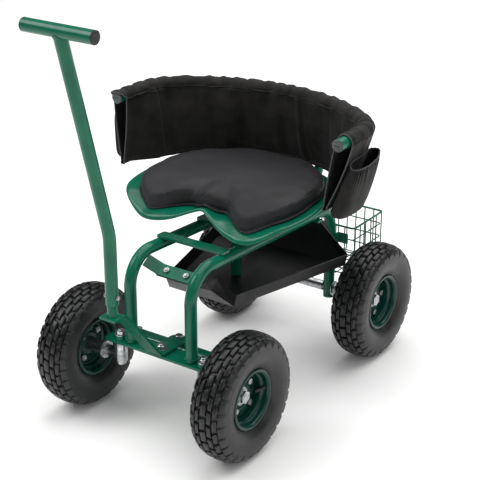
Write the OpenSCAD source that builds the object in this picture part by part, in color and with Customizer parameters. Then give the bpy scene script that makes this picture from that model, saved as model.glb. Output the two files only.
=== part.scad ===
// Rolling garden seat: a low four-wheeled frame with a steered front axle and pull handle,
// a swivel seat with a tool sleeve round its back rail, a sheet tool tray under the seat
// and a wire basket behind it. Millimetres, +Z up, the handle points toward -Y.
// The origin lies on the floor under the middle of the whole outline.

/* [Frame] */
// Distance between the front and the rear axle
wheelbase = 520; // [500:5:560]
// Distance between the middles of the front tyres
front_track = 388; // [384:2:420]
// Distance between the middles of the rear tyres
rear_track = 376; // [372:2:420]
// Outer diameter of the two arched frame tubes
frame_tube_d = 25; // [22:1:28]
// Wall of every steel tube
tube_wall = 2; // [1.5:0.25:2.5]
// Distance between the middles of the two frame tubes
frame_tube_gap = 150; // [140:2:160]
// Height of a frame tube's middle where its front bend ends
rail_h = 352; // [345:1:370]
// Fall of the frame tubes toward the rear, in degrees
rail_fall = 3.2; // [2:0.2:5]
// Centreline radius of the front frame bends
front_bend_r = 62; // [55:1:68]
// Centreline radius of the rear frame bends
rear_bend_r = 55; // [50:1:62]
// How far the rear legs reach below the axle
leg_below_axle = 22; // [18:1:28]

/* [Wheels] */
// Outer diameter of the tyres
tyre_d = 260; // [250:2:266]
// Width of the tyres
tyre_w = 80; // [72:1:84]
// Height of the tread blocks
tread_h = 6; // [4:0.5:8]
// Blocks round each row of the tread
tread_blocks = 28; // [20:2:34]
// Thickness of the tyre's casing
casing_t = 8; // [6:0.5:9]
// Radius of the rim's flanges
rim_flange_r = 62; // [59:1:66]
// Width of the rim over its flanges
rim_w = 54; // [50:1:58]
// Height of a rim flange over the bead seat
rim_flange_h = 8; // [6:0.5:9]
// Sheet thickness of the rim's barrel
rim_t = 2; // [1.5:0.25:2.5]
// Radius of the circle of wheel bolts
bolt_circle_r = 33; // [31:0.5:36]
// Diameter of the wheel bolts
wheel_bolt_d = 8; // [6:0.5:9]
// Outer diameter of the hub tube
hub_d = 30; // [28:0.5:32]
// Outer diameter of the bearing cups
bearing_d = 38; // [35:0.5:40]
// How far the hub reaches inboard of the tyre's middle
hub_inboard = 51; // [48:0.5:54]
// Diameter of the axles
axle_d = 16; // [14:0.5:18]

/* [Steering] */
// Distance between the two kingpins
kingpin_gap = 210; // [204:2:216]
// Diameter of the kingpins and of the pivot bolt
kingpin_d = 12; // [10:0.5:14]
// Height of the axle beam's underside over the wheel centres
beam_lift = 33; // [31:0.5:36]
// Thickness of the axle beam
beam_t = 5; // [4:0.5:6]
// Width of the axle beam
beam_w = 48; // [44:1:52]
// Length of the axle beam
beam_span = 270; // [262:2:276]
// Length of the steering arms, from pivot to tie-rod bolt
steer_arm = 58; // [54:1:62]
// Diameter of the tie-rod bolts
tie_bolt_d = 10; // [8:0.5:11]
// Width of the tie rod
tie_w = 20; // [18:1:22]
// Thickness of the tie rod
tie_t = 4; // [3:0.5:5]
// Width of the steering lever
lever_w = 38; // [34:1:42]
// Thickness of the steering lever
lever_t = 5; // [4:0.5:6]
// Distance from the pivot bolt forward to the foot of the handle
lever_reach = 143; // [138:1:150]
// Height of the steering lever's top plate
lever_top_h = 306; // [298:1:314]
// Outer diameter of the handle tube and of its grip
handle_d = 25; // [22:1:28]
// Height of the handle tube's lower end
handle_foot_h = 330; // [324:1:336]
// Height at which the handle tube bends forward
handle_bend_h = 468; // [450:2:490]
// Forward lean of the upper handle, in degrees
handle_lean = 14.5; // [10:0.5:18]
// Height of the grip's middle
grip_h = 872; // [840:2:900]
// Length of the grip without its end plugs
grip_l = 154; // [130:2:180]

/* [Seat] */
// Height of the middle of the seat pan
seat_h = 418; // [412:1:440]
// Radius of the seat pan at its sides
pan_r = 210; // [204:1:216]
// Sheet thickness of the seat pan
pan_t = 2; // [1.5:0.25:3]
// Rise of the seat pan toward its sides
pan_rise = 28; // [20:1:34]
// Radius of the cushion at its sides
cushion_r = 190; // [184:1:196]
// Thickness of the cushion at its edge
cushion_t = 34; // [28:1:40]
// Extra height of the cushion's crown
cushion_crown = 9; // [5:1:14]
// Outer diameter of the tube that carries the seat
column_d = 22; // [21:0.5:24]
// Diameter of the seat's post
post_d = 17; // [15:0.5:17]
// Height over which the seat adjusts
seat_travel = 100; // [60:5:100]

/* [Back rail] */
// Outer diameter of the back rail
back_tube_d = 25; // [22:1:28]
// Height of the back rail over the middle of the seat pan
back_lift = 177; // [168:1:190]
// Half the width of the back rail, to the middle of its tube
back_half_w = 269; // [262:1:276]
// Reach of the back rail's ends ahead of the seat's axis
back_reach = 50; // [44:1:60]
// Centreline radius of the back rail's corners
back_corner_r = 98; // [90:1:106]
// Height of the tool sleeve from its top to its lower edge
sleeve_h = 143; // [134:1:150]
// Thickness of the sleeve's cloth
cloth_t = 3; // [2:0.25:4]
// Depth of the side pockets
pocket_depth = 32; // [26:1:38]
// Height of the side pockets
pocket_h = 110; // [96:1:116]

/* [Tray and basket] */
// Height of the tray's floor
tray_h = 238; // [232:1:246]
// Height of the tray's side lips
tray_lip = 26; // [20:1:32]
// Sheet thickness of the tray
tray_t = 1.5; // [1:0.25:2]
// Half the width of the tray's floor at its front edge
tray_front_half = 82; // [76:1:88]
// Half the width of the tray's floor at its rear edge
tray_back_half = 162; // [150:1:166]
// Reach of the tray's floor ahead of the seat's axis
tray_ahead = 125; // [118:1:130]
// Space between the tray and the rear tyres
tray_tyre_gap = 10; // [8:1:20]
// Width of the wire basket
basket_w = 254; // [240:2:260]
// Length of the wire basket
basket_l = 130; // [120:2:140]
// Height of the basket's rim
basket_rim_h = 281; // [272:1:290]
// Depth of the wire basket
basket_depth = 118; // [100:2:124]
// Diameter of the basket's wires
wire_d = 3; // [2.5:0.25:5]
// Greatest distance between the basket's wires
wire_pitch = 25; // [16:1:30]

/* [Hidden] */

// Fits and clearances
// Space between pieces that rest on each other
seat_gap = 0.3;
// Radial play of a running fit
run_fit = 0.05;
// Radial play round a clamping bolt
bolt_play = 0.25;
// Overrun of a cut past the faces that it opens
overrun = 1;
// How much a tube bend stands proud of the runs that enter it
bend_swell = 0.1;
// How far a run enters the bends beside it
run_lap = 1;
// Bite of one basket wire into the wire that it crosses
weld_bite = 1;

// Hardware
washer_t = 2;
washer_rim = 4;
head_share = 1.7;
head_h_share = 0.6;

// Colours
green = "#0b6b4c";
zinc = "#c9ccce";
rubber = "#2b2c2e";
black = "#1c1d1f";
charcoal = "#3b3b3e";
cloth = "#232427";
rim_green = "#0c5444";

// Derived places
wheel_h = tyre_d / 2;
beam_h = wheel_h + beam_lift;
handle_rise = grip_h - handle_bend_h;
grip_ahead = lever_reach + handle_rise * tan(handle_lean);
basket_ahead = wheelbase / 2 + frame_tube_d / 2 + wire_d / 2 + seat_gap;
front_reach = wheelbase / 2 + grip_ahead + handle_d / 2;
back_reach_all = max(basket_ahead + basket_l + wire_d / 2, wheelbase / 2 + wheel_h);
seat_y = (front_reach - back_reach_all) / 2;
front_axle_y = seat_y - wheelbase / 2;
rear_axle_y = seat_y + wheelbase / 2;
frame_x = frame_tube_gap / 2;
beam_back = 6;
frame_foot_h = beam_h + beam_t + seat_gap;
steer_limit = 35;

// Number of facets that stand for a full turn in the viewer
fine = 96;
mid = 48;
small = 32;

// Plain helpers

function mix(a, b, t) = a + (b - a) * t;
function ease(t) = (1 - cos(180 * t)) / 2;
function last(list) = list[len(list) - 1];
function reversed(list) = [for (i = [len(list) - 1 : -1 : 0]) list[i]];
function flip_y(points) = [for (p = points) [p[0], -p[1]]];
function unit(v) = v / norm(v);
function middle(list) = [for (sums = [[for (k = [0 : len(list) - 1]) 1] * list]) sums / len(list)][0];

// Value at an angle of a table of [angle, share] rows, smooth through its rows
function share_at(angle, shares, i = 0) =
  i >= len(shares) - 2 || angle <= shares[i + 1][0]
  ? mix(shares[i][1], shares[i + 1][1], ease((angle - shares[i][0]) / (shares[i + 1][0] - shares[i][0])))
  : share_at(angle, shares, i + 1);

// Turns a corner of a flat path into an arc of the given radius
function arc_corner(a, b, c, r, steps) =
  let (
    u = unit(a - b),
    v = unit(c - b),
    half = acos(u * v) / 2,
    reach = r / tan(half),
    centre = b + unit(u + v) * r / sin(half),
    start = b + u * reach - centre,
    turn = 180 - 2 * half,
    side = u[0] * v[1] - u[1] * v[0] > 0 ? -1 : 1
  )
  [for (i = [0 : steps]) let (w = side * turn * i / steps)
    centre + [start[0] * cos(w) - start[1] * sin(w), start[0] * sin(w) + start[1] * cos(w)]];

// The path with every inner corner rounded
function rounded_path(points, r, steps = 4) = concat(
  [points[0]],
  [for (i = [1 : len(points) - 2]) each arc_corner(points[i - 1], points[i], points[i + 1], r, steps)],
  [last(points)]
);

// Left-hand normal of a path at one of its points
function path_normal(points, i) =
  let (
    a = points[max(i - 1, 0)],
    b = points[min(i + 1, len(points) - 1)],
    d = unit(b - a)
  )
  [-d[1], d[0]];

// Outline of a bent flat bar of thickness t that follows the path
function bar_outline(points, t) = concat(
  [for (i = [0 : len(points) - 1]) points[i] + path_normal(points, i) * t / 2],
  [for (i = [len(points) - 1 : -1 : 0]) points[i] - path_normal(points, i) * t / 2]
);

// Outline of a flat bar with round ends, between two points of the X axis
module slot_outline(x0, x1, w) {
  translate([x0, 0]) circle(d = w, $fn = mid);
  translate([x1, 0]) circle(d = w, $fn = mid);
  translate([x0, -w / 2]) square([x1 - x0, w]);
}

// Rectangle with rounded corners about the origin
module rounded_rect(w, l, r) {
  for (x = [-1, 1])
    for (y = [-1, 1])
      translate([x * (w / 2 - r), y * (l / 2 - r)]) circle(r = r, $fn = small);
  square([w - 2 * r, l], center = true);
  square([w, l - 2 * r], center = true);
}

// Solid rod along a path of runs and bends, from the origin toward +Z, bending toward +X
module rod_path(steps, d, before = 0, after = 0, i = 0) {
  if (i < len(steps)) {
    step = steps[i];
    if (step[0] == "run") {
      back = i == 0 ? before : run_lap;
      ahead = i == len(steps) - 1 ? after : run_lap;
      translate([0, 0, -back]) cylinder(d = d - bend_swell, h = step[1] + back + ahead, $fn = mid);
      translate([0, 0, step[1]]) rod_path(steps, d, before, after, i + 1);
    } else {
      translate([step[1], 0, 0])
        rotate([90, 0, 180])
          rotate_extrude(angle = step[2], $fn = fine)
            translate([step[1], 0])
              circle(d = d, $fn = mid);
      translate([step[1] * (1 - cos(step[2])), 0, step[1] * sin(step[2])])
        rotate([0, step[2], 0])
          rod_path(steps, d, before, after, i + 1);
    }
  }
}

// Hollow tube along the same kind of path
module tube_path(steps, d) {
  difference() {
    rod_path(steps, d);
    rod_path(steps, d - 2 * tube_wall, overrun, overrun);
  }
}

// Closed skin through rings of points, each ring counter-clockwise seen from the last ring
module loft(rings) {
  n = len(rings[0]);
  m = len(rings);
  points = concat([for (ring = rings) each ring], [middle(rings[0]), middle(last(rings))]);
  sides = [for (j = [0 : m - 2]) for (i = [0 : n - 1])
    let (a = j * n + i, b = j * n + (i + 1) % n)
    each [[a, b + n, b], [a, a + n, b + n]]];
  foot = [for (i = [0 : n - 1]) [m * n, i, (i + 1) % n]];
  head = [for (i = [0 : n - 1]) [m * n + 1, (m - 1) * n + (i + 1) % n, (m - 1) * n + i]];
  polyhedron(points = points, faces = concat(sides, foot, head), convexity = 8);
}

// Flat sheet of thickness t with its middle on four corners
module sheet(corners, t) {
  n = unit(cross(corners[2] - corners[0], corners[3] - corners[1])) * t / 2;
  loft([[for (p = corners) p - n], [for (p = corners) p + n]]);
}

// Hexagon bolt along +Z: its head under the origin, washer and nut above the given grip length
module bolt(d, grip, washers = true) {
  head_d = d * head_share;
  head_h = d * head_h_share;
  stack = grip + (washers ? washer_t + seat_gap : 0);
  translate([0, 0, -head_h]) cylinder(d = head_d, h = head_h, $fn = 6);
  translate([0, 0, -seat_gap]) cylinder(d = d, h = stack + head_h + 3 * seat_gap, $fn = mid);
  translate([0, 0, stack + seat_gap]) cylinder(d = head_d, h = head_h, $fn = 6);
  if (washers)
    translate([0, 0, grip + seat_gap])
      cylinder(d = head_d + washer_rim, h = washer_t + seat_gap, $fn = mid);
}

// Frame

rail_start = wheelbase / 2 - front_bend_r * (1 + sin(rail_fall));
rail_run = (rail_start + wheelbase / 2 - rear_bend_r * (1 - sin(rail_fall))) / cos(rail_fall);
rail_end_h = rail_h - rail_run * sin(rail_fall);
frame_steps = [
  ["run", rail_h - front_bend_r * cos(rail_fall) - frame_foot_h],
  ["bend", front_bend_r, 90 + rail_fall],
  ["run", rail_run],
  ["bend", rear_bend_r, 90 - rail_fall],
  ["run", rail_end_h - rear_bend_r * cos(rail_fall) - (wheel_h - leg_below_axle)]
];

// Height of the middle of a frame tube at a distance behind the seat's axis
function rail_at(y) = rail_h - (y + rail_start) * tan(rail_fall);
// Height of the top and of the underside of a frame tube there
function rail_top(y) = rail_at(y) + frame_tube_d / 2 / cos(rail_fall);
function rail_under(y) = rail_at(y) - frame_tube_d / 2 / cos(rail_fall);

module frame_tube(side) {
  color(green)
    difference() {
      translate([side * frame_x, front_axle_y, frame_foot_h])
        rotate([0, 0, 90])
          tube_path(frame_steps, frame_tube_d);
      translate([0, rear_axle_y, wheel_h])
        rotate([0, 90, 0])
          cylinder(d = axle_d + 2 * bolt_play, h = front_track, center = true, $fn = mid);
    }
}

module frame_tube_left() frame_tube(-1);

module frame_tube_right() frame_tube(1);

boss_d = 26;
boss_h = 8;

module front_beam() {
  corner_r = beam_t;
  color(green)
    translate([0, front_axle_y, beam_h])
      difference() {
        union() {
          translate([0, beam_back, 0]) linear_extrude(height = beam_t) rounded_rect(beam_span, beam_w, corner_r);
          for (x = [-1, 1])
            translate([x * kingpin_gap / 2, 0, 0]) cylinder(d = boss_d, h = beam_t + boss_h, $fn = mid);
        }
        for (x = [-1, 0, 1])
          translate([x * kingpin_gap / 2, 0, -overrun])
            cylinder(d = kingpin_d + 2 * bolt_play, h = beam_t + boss_h + 2 * overrun, $fn = mid);
      }
}

crossbar_w = 28;
crossbar_t = 5;
crossbar_ahead = 151;
crossbar_l = frame_tube_gap + frame_tube_d * 0.6;

module front_crossbar() {
  color(green)
    translate([0, seat_y - crossbar_ahead, rail_top(-crossbar_ahead) + seat_gap])
      rotate([-rail_fall, 0, 0])
        linear_extrude(height = crossbar_t)
          rounded_rect(crossbar_l, crossbar_w, crossbar_t);
}

// Hat-shaped strap between the front bends, which holds the tray's nose
strap_t = 4;
strap_w = 27;
strap_half = 38;
strap_rise = 22;
strap_tilt = 32;
strap_ahead = 204.5;
strap_drop = 35.5;
strap_h = rail_h - strap_drop;
strap_bolt_x = 24;
strap_bolt_d = 8;

module strap_frame() {
  translate([0, seat_y - strap_ahead, strap_h]) rotate([strap_tilt, 0, 0]) children();
}

module front_strap() {
  wing = frame_x - frame_tube_d / 4;
  path = rounded_path([
    [-wing, strap_rise], [-strap_half, 0], [strap_half, 0], [wing, strap_rise]
  ], 2 * strap_t);
  color(green)
    difference() {
      strap_frame()
        rotate([90, 0, 0])
          translate([0, 0, -strap_w / 2])
            linear_extrude(height = strap_w)
              polygon(bar_outline(path, strap_t));
      for (side = [-1, 1])
        translate([side * frame_x, front_axle_y, frame_foot_h])
          rotate([0, 0, 90])
            rod_path(frame_steps, frame_tube_d + 2 * seat_gap);
      strap_frame()
        for (x = [-1, 1])
          translate([x * strap_bolt_x, 0, -strap_t])
            cylinder(d = strap_bolt_d + 2 * bolt_play, h = 2 * strap_t, $fn = small);
    }
}

rear_strap_w = 20;
rear_strap_behind = 196;

module rear_strap_frame() {
  translate([0, seat_y + rear_strap_behind, rail_under(rear_strap_behind) - seat_gap - strap_t])
    rotate([-rail_fall, 0, 0])
      children();
}

module rear_strap() {
  color(green)
    rear_strap_frame()
      difference() {
        linear_extrude(height = strap_t) rounded_rect(frame_tube_gap + frame_tube_d, rear_strap_w, strap_t / 2);
        for (x = [-1, 1])
          translate([x * strap_bolt_x, 0, -overrun])
            cylinder(d = strap_bolt_d + 2 * bolt_play, h = strap_t + 2 * overrun, $fn = small);
      }
}

cross_plate_l = 64;
cross_plate_t = 6;
cross_plate_h = rail_top(0) + seat_gap;

module seat_cross_plate() {
  color(green)
    translate([0, seat_y, cross_plate_h])
      rotate([-rail_fall, 0, 0])
        difference() {
          linear_extrude(height = cross_plate_t)
            rounded_rect(frame_tube_gap + frame_tube_d / 2, cross_plate_l, cross_plate_t);
          rotate([rail_fall, 0, 0])
            translate([0, 0, -cross_plate_t])
              cylinder(d = column_d + 2 * seat_gap, h = 3 * cross_plate_t, $fn = mid);
        }
}

pan_under = seat_h - pan_t - seat_gap;
swivel_t = 6;
swivel_h = pan_under - swivel_t;
socket_depth = 26;
column_top = swivel_h - socket_depth;
// Space between the tray's floor and the column's foot
column_foot_gap = 3;
// Least length of the post that stays in the column
post_hold = 41.5;
column_collar_d = 34;
column_collar_h = 10;

module seat_column() {
  color(green)
    translate([0, seat_y, 0])
      difference() {
        union() {
          translate([0, 0, tray_h + column_foot_gap])
            cylinder(d = column_d, h = column_top - tray_h - column_foot_gap, $fn = mid);
          translate([0, 0, column_top - column_collar_h])
            cylinder(d = column_collar_d, h = column_collar_h, $fn = mid);
        }
        translate([0, 0, tray_h - overrun])
          cylinder(d = post_d + 2 * run_fit, h = column_top - tray_h + 2 * overrun, $fn = mid);
      }
}

axle_tube_d = 22;
axle_washer_d = 34;
axle_washer_t = 3;
sleeve_d = 22;
leg_half = frame_x + frame_tube_d / 2 + seat_gap;

module rear_axle_tube() {
  inner = 2 * (frame_x - frame_tube_d / 2 - seat_gap);
  hub_end = rear_track / 2 - hub_inboard - seat_gap;
  translate([0, rear_axle_y, wheel_h])
    rotate([0, 90, 0])
      difference() {
        union() {
          color(green) translate([0, 0, -inner / 2]) cylinder(d = axle_tube_d, h = inner, $fn = mid);
          for (side = [-1, 1])
            color(zinc)
              translate([0, 0, side * leg_half])
                mirror([0, 0, side < 0 ? 1 : 0]) {
                  cylinder(d = axle_washer_d, h = axle_washer_t, $fn = mid);
                  cylinder(d = sleeve_d, h = hub_end - leg_half, $fn = mid);
                }
        }
        cylinder(d = axle_d + 2 * bolt_play, h = front_track, center = true, $fn = mid);
      }
}

hub_outboard = 2;
axle_nut_d = axle_d * head_share;
axle_nut_h = 7;
axle_end = hub_outboard + washer_t + axle_nut_h + 3 * seat_gap;

// Washer and nut that hold a wheel, from the hub's outer end toward +Z
module axle_nut() {
  color(zinc)
    translate([0, 0, hub_outboard + seat_gap])
      difference() {
        union() {
          cylinder(d = axle_nut_d + washer_rim, h = washer_t, $fn = mid);
          translate([0, 0, washer_t]) cylinder(d = axle_nut_d, h = axle_nut_h, $fn = 6);
        }
        translate([0, 0, -overrun]) cylinder(d = axle_d - bolt_play, h = washer_t + 2 * overrun, $fn = mid);
      }
}

module rear_axle() {
  color(zinc)
    translate([0, rear_axle_y, wheel_h])
      rotate([0, 90, 0]) {
        cylinder(d = axle_d, h = rear_track + 2 * axle_end, center = true, $fn = mid);
        translate([0, 0, rear_track / 2]) axle_nut();
        mirror([0, 0, 1]) translate([0, 0, rear_track / 2]) axle_nut();
      }
}

// Tray: one folded sheet with a level floor, side lips and two ramps up to its straps

tray_flare = 6;
knee_half = 57;
knee_ahead = 168;
// Share of the way from the floor up to the nose at which the ramp's knee lies
knee_rise_share = 0.65;
nose_half = 45;
ramp_lip = 22;
tray_gap = tray_t + seat_gap;

module mirrored() {
  children();
  mirror([1, 0, 0]) children();
}

// Reach of a tyre ahead of its axle at the height of the tray's floor, none above the tyre
tyre_reach = sqrt(max(0, wheel_h * wheel_h - (tray_h - wheel_h) * (tray_h - wheel_h)));
tray_behind = wheelbase / 2 - tray_tyre_gap - tyre_reach;
tray_mid = tray_h - tray_t / 2;

// Middle of the tray's tail, which lies under the rear strap
function tail_mid(y) = rail_under(y) - strap_t - 2 * seat_gap - tray_t / 2;

// Holes for the tray's bolts
module tray_bolt_holes() {
  for (x = [-1, 1])
    translate([x * strap_bolt_x, 0, -2 * strap_t])
      cylinder(d = strap_bolt_d + 2 * bolt_play, h = 4 * strap_t, $fn = small);
}

// Lower and upper edge of the nose, ahead of the seat's axis and in height
nose_drop = strap_t / 2 + seat_gap + tray_t / 2;
nose_low = [strap_ahead + strap_w / 2 * cos(strap_tilt) - nose_drop * sin(strap_tilt),
  strap_h - strap_w / 2 * sin(strap_tilt) - nose_drop * cos(strap_tilt)];
nose_high = nose_low + strap_w * [-cos(strap_tilt), sin(strap_tilt)];
knee_h = mix(tray_h, nose_low[1], knee_rise_share);

module tool_tray() {
  f = tray_front_half;
  b = tray_back_half;
  tail_half = frame_x + frame_tube_d / 2;
  tail_back = rear_strap_behind + rear_strap_w / 2 + 2 * tray_t;
  tail_front = rear_strap_behind - rear_strap_w / 2;
  color(black)
    difference() {
      translate([0, seat_y, 0]) {
        translate([0, 0, tray_h - tray_t])
          linear_extrude(height = tray_t)
            polygon([[-f, -tray_ahead], [f, -tray_ahead], [b, tray_behind], [-b, tray_behind]]);
        // Front ramp in two slopes, and the nose under the front strap
        sheet([[-f, -tray_ahead, tray_mid], [f, -tray_ahead, tray_mid],
          [knee_half, -knee_ahead, knee_h], [-knee_half, -knee_ahead, knee_h]], tray_t);
        sheet([[-knee_half, -knee_ahead, knee_h], [knee_half, -knee_ahead, knee_h],
          [nose_half, -nose_low[0], nose_low[1]], [-nose_half, -nose_low[0], nose_low[1]]], tray_t);
        sheet([[-nose_half, -nose_low[0], nose_low[1]], [nose_half, -nose_low[0], nose_low[1]],
          [nose_half, -nose_high[0], nose_high[1]], [-nose_half, -nose_high[0], nose_high[1]]], tray_t);
        // Rear ramp, and the tail under the rear strap
        sheet([[b, tray_behind, tray_mid], [-b, tray_behind, tray_mid],
          [-tail_half, tail_back, tail_mid(tail_back)], [tail_half, tail_back, tail_mid(tail_back)]], tray_t);
        sheet([[tail_half, tail_back, tail_mid(tail_back)], [-tail_half, tail_back, tail_mid(tail_back)],
          [-tail_half, tail_front, tail_mid(tail_front)], [tail_half, tail_front, tail_mid(tail_front)]], tray_t);
        mirrored() {
          // Side lip
          sheet([[f, -tray_ahead, tray_mid], [b, tray_behind, tray_mid],
            [b + tray_flare, tray_behind, tray_h + tray_lip],
            [f + tray_flare, -tray_ahead, tray_h + tray_lip]], tray_t);
          // Flanges along the slanted edges of the front ramp
          sheet([[knee_half, -knee_ahead, knee_h], [f, -tray_ahead, tray_mid],
            [f + tray_flare, -tray_ahead, tray_h + tray_lip],
            [knee_half + tray_flare, -knee_ahead + ramp_lip / 2, knee_h + ramp_lip]], tray_t);
          sheet([[nose_half, -nose_low[0], nose_low[1]], [knee_half, -knee_ahead, knee_h],
            [knee_half + tray_flare, -knee_ahead + ramp_lip / 2, knee_h + ramp_lip],
            [nose_half, -nose_high[0], nose_high[1]]], tray_t);
          // Lip along the slanted edge of the rear ramp
          sheet([[b, tray_behind, tray_mid], [tail_half, tail_back, tail_mid(tail_back)],
            [tail_half, tail_back - ramp_lip / 2, tail_mid(tail_back)],
            [b + tray_flare, tray_behind, tray_h + tray_lip]], tray_t);
        }
      }
      strap_frame() tray_bolt_holes();
      rear_strap_frame() tray_bolt_holes();
    }
}

module tray_bolts() {
  color(zinc) {
    strap_frame()
      for (x = [-1, 1])
        translate([x * strap_bolt_x, 0, -strap_t / 2 - tray_gap - seat_gap])
          bolt(strap_bolt_d, strap_t + tray_gap, false);
    rear_strap_frame()
      for (x = [-1, 1])
        translate([x * strap_bolt_x, 0, -tray_gap - seat_gap])
          bolt(strap_bolt_d, strap_t + tray_gap, false);
  }
}

// Wire basket: five flat grids of crossing wires

basket_y = seat_y + basket_ahead + basket_l / 2;
basket_floor_h = basket_rim_h - basket_depth;

// Flat grid in the XY plane, from the origin: upright wires along Y, cross wires along X beneath
module wire_grid(w, l, first_cross = 0) {
  n = ceil(w / wire_pitch);
  m = ceil(l / wire_pitch / 1.5);
  for (i = [0 : n])
    translate([w * i / n, 0, 0]) rotate([-90, 0, 0]) cylinder(d = wire_d, h = l, $fn = small);
  for (j = [first_cross : m])
    translate([-wire_d / 2, mix(wire_d / 2, l - wire_d / 2, j / m), wire_d - weld_bite])
      rotate([0, 90, 0])
        cylinder(d = wire_d, h = w + wire_d, $fn = small);
}

basket_wall = basket_rim_h - basket_floor_h;
grid_inset = wire_d + seat_gap;

module basket_end(back) {
  color(green)
    translate([0, basket_y, 0])
      mirror([0, back ? 1 : 0, 0])
        translate([-basket_w / 2, -basket_l / 2, basket_floor_h])
          rotate([90, 0, 0])
            mirror([0, 0, 1])
              wire_grid(basket_w, basket_wall);
}

module basket_side(right) {
  depth = 2 * wire_d - weld_bite;
  color(green)
    mirror([right ? 1 : 0, 0, 0])
      translate([-basket_w / 2, basket_y - basket_l / 2 + depth, basket_floor_h])
        rotate([90, 0, 90])
          wire_grid(basket_l - 2 * depth, basket_wall);
}

module basket_front() basket_end(false);

module basket_back() basket_end(true);

module basket_left() basket_side(false);

module basket_right() basket_side(true);

module basket_floor() {
  // The cross wires lie right under the lowest wires of the sides
  floor_wires_h = basket_floor_h - seat_gap - 1.5 * wire_d + weld_bite;
  color(green)
    translate([-basket_w / 2 + grid_inset, basket_y - basket_l / 2 + grid_inset, floor_wires_h])
      wire_grid(basket_w - 2 * grid_inset, basket_l - 2 * grid_inset);
}

bracket_t = 3;
bracket_w = 24;
bracket_flange = 26;

// Angles welded to the rear legs, whose flanges carry the basket's front wires
module basket_brackets() {
  hook_h = basket_rim_h - wire_pitch - wire_d;
  reach = basket_y - basket_l / 2 - wire_d / 2 - seat_gap - rear_axle_y;
  color(green)
    for (side = [-1, 1])
      translate([side * (frame_x + frame_tube_d / 2 + seat_gap), rear_axle_y, hook_h - bracket_w / 2])
        mirror([side < 0 ? 1 : 0, 0, 0]) {
          cube([bracket_t, reach, bracket_w]);
          translate([0, reach - bracket_t, 0]) cube([bracket_flange, bracket_t, bracket_w]);
        }
}

// Steering

lever_h = beam_h + beam_t + washer_t / 2 + 2 * seat_gap;
arm_t = 5;
arm_w = 22;
sleeve_top = beam_h - seat_gap;
tie_rod_gap = 3;
arm_top = beam_h - tie_t - tie_rod_gap;
tie_h = arm_top + seat_gap;
stub_shoulder_d = 24;
knuckle_sleeve_d = 26;
knuckle_sleeve_h = 45;
lever_back = steer_arm + lever_w / 3;
lever_fold = 20;
lever_top_l = 34;

module pivot_bolt() {
  color(zinc)
    translate([0, front_axle_y, beam_h - seat_gap]) {
      bolt(kingpin_d, lever_h + lever_t + seat_gap - beam_h);
      difference() {
        translate([0, 0, beam_t + 2 * seat_gap])
          cylinder(d = kingpin_d * head_share + washer_rim, h = washer_t / 2, $fn = mid);
        cylinder(d = kingpin_d - bolt_play, h = 2 * beam_t, $fn = mid);
      }
    }
}

module kingpins() {
  color(zinc)
    for (x = [-1, 1])
      translate([x * kingpin_gap / 2, front_axle_y, sleeve_top - knuckle_sleeve_h - seat_gap])
        bolt(kingpin_d, knuckle_sleeve_h + beam_t + boss_h + 2 * seat_gap);
}

module steering_lever() {
  rise_back = lever_reach - lever_top_l / 2;
  path = rounded_path([
    [lever_back, lever_h + lever_t / 2],
    [-lever_fold, lever_h + lever_t / 2],
    [-rise_back, lever_top_h - lever_t / 2],
    [-rise_back - lever_top_l, lever_top_h - lever_t / 2]
  ], 2 * lever_t);
  color(green)
    translate([0, front_axle_y, 0])
      difference() {
        union() {
          intersection() {
            rotate([90, 0, 90])
              translate([0, 0, -lever_w / 2])
                linear_extrude(height = lever_w)
                  polygon(bar_outline(path, lever_t));
            linear_extrude(height = lever_top_h + overrun)
              rotate([0, 0, -90])
                slot_outline(-steer_arm + lever_w / 6, lever_reach + lever_top_l, lever_w + overrun / 2);
          }
          translate([0, -lever_reach, lever_top_h - seat_gap])
            cylinder(d = stub_d, h = handle_foot_h + stub_inside - lever_top_h, $fn = mid);
        }
        translate([0, 0, beam_h]) cylinder(d = kingpin_d + 2 * run_fit, h = 3 * lever_t + beam_t, $fn = mid);
        translate([0, steer_arm, beam_h])
          cylinder(d = tie_bolt_d + 2 * bolt_play, h = 3 * lever_t + beam_t, $fn = mid);
        translate([0, -lever_reach, handle_pin_h])
          rotate([0, 90, 0])
            cylinder(d = handle_pin_d + 2 * bolt_play, h = 2 * stub_d, center = true, $fn = small);
      }
}

stub_d = handle_d - 2 * tube_wall - 2 * seat_gap;
stub_inside = 45;
handle_pin_d = 6;
handle_pin_rise = 16;
handle_pin_h = handle_foot_h + handle_pin_rise;

module lever_bolt() {
  bush_d = tie_bolt_d + 2 * washer_rim;
  bush_low = tie_h + tie_t + seat_gap;
  color(zinc)
    translate([0, front_axle_y + steer_arm, 0]) {
      translate([0, 0, lever_h + lever_t + seat_gap])
        mirror([0, 0, 1])
          bolt(tie_bolt_d, lever_h + lever_t - tie_h + seat_gap, false);
      difference() {
        translate([0, 0, bush_low]) cylinder(d = bush_d, h = lever_h - seat_gap - bush_low, $fn = mid);
        translate([0, 0, tie_h]) cylinder(d = tie_bolt_d - bolt_play, h = lever_h - tie_h, $fn = mid);
      }
    }
}

module tie_rod() {
  color(zinc)
    translate([0, front_axle_y + steer_arm, tie_h])
      linear_extrude(height = tie_t)
        difference() {
          slot_outline(-kingpin_gap / 2, kingpin_gap / 2, tie_w);
          for (x = [-1, 0, 1])
            translate([x * kingpin_gap / 2, 0]) circle(d = tie_bolt_d + 2 * run_fit, $fn = mid);
        }
}

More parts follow.
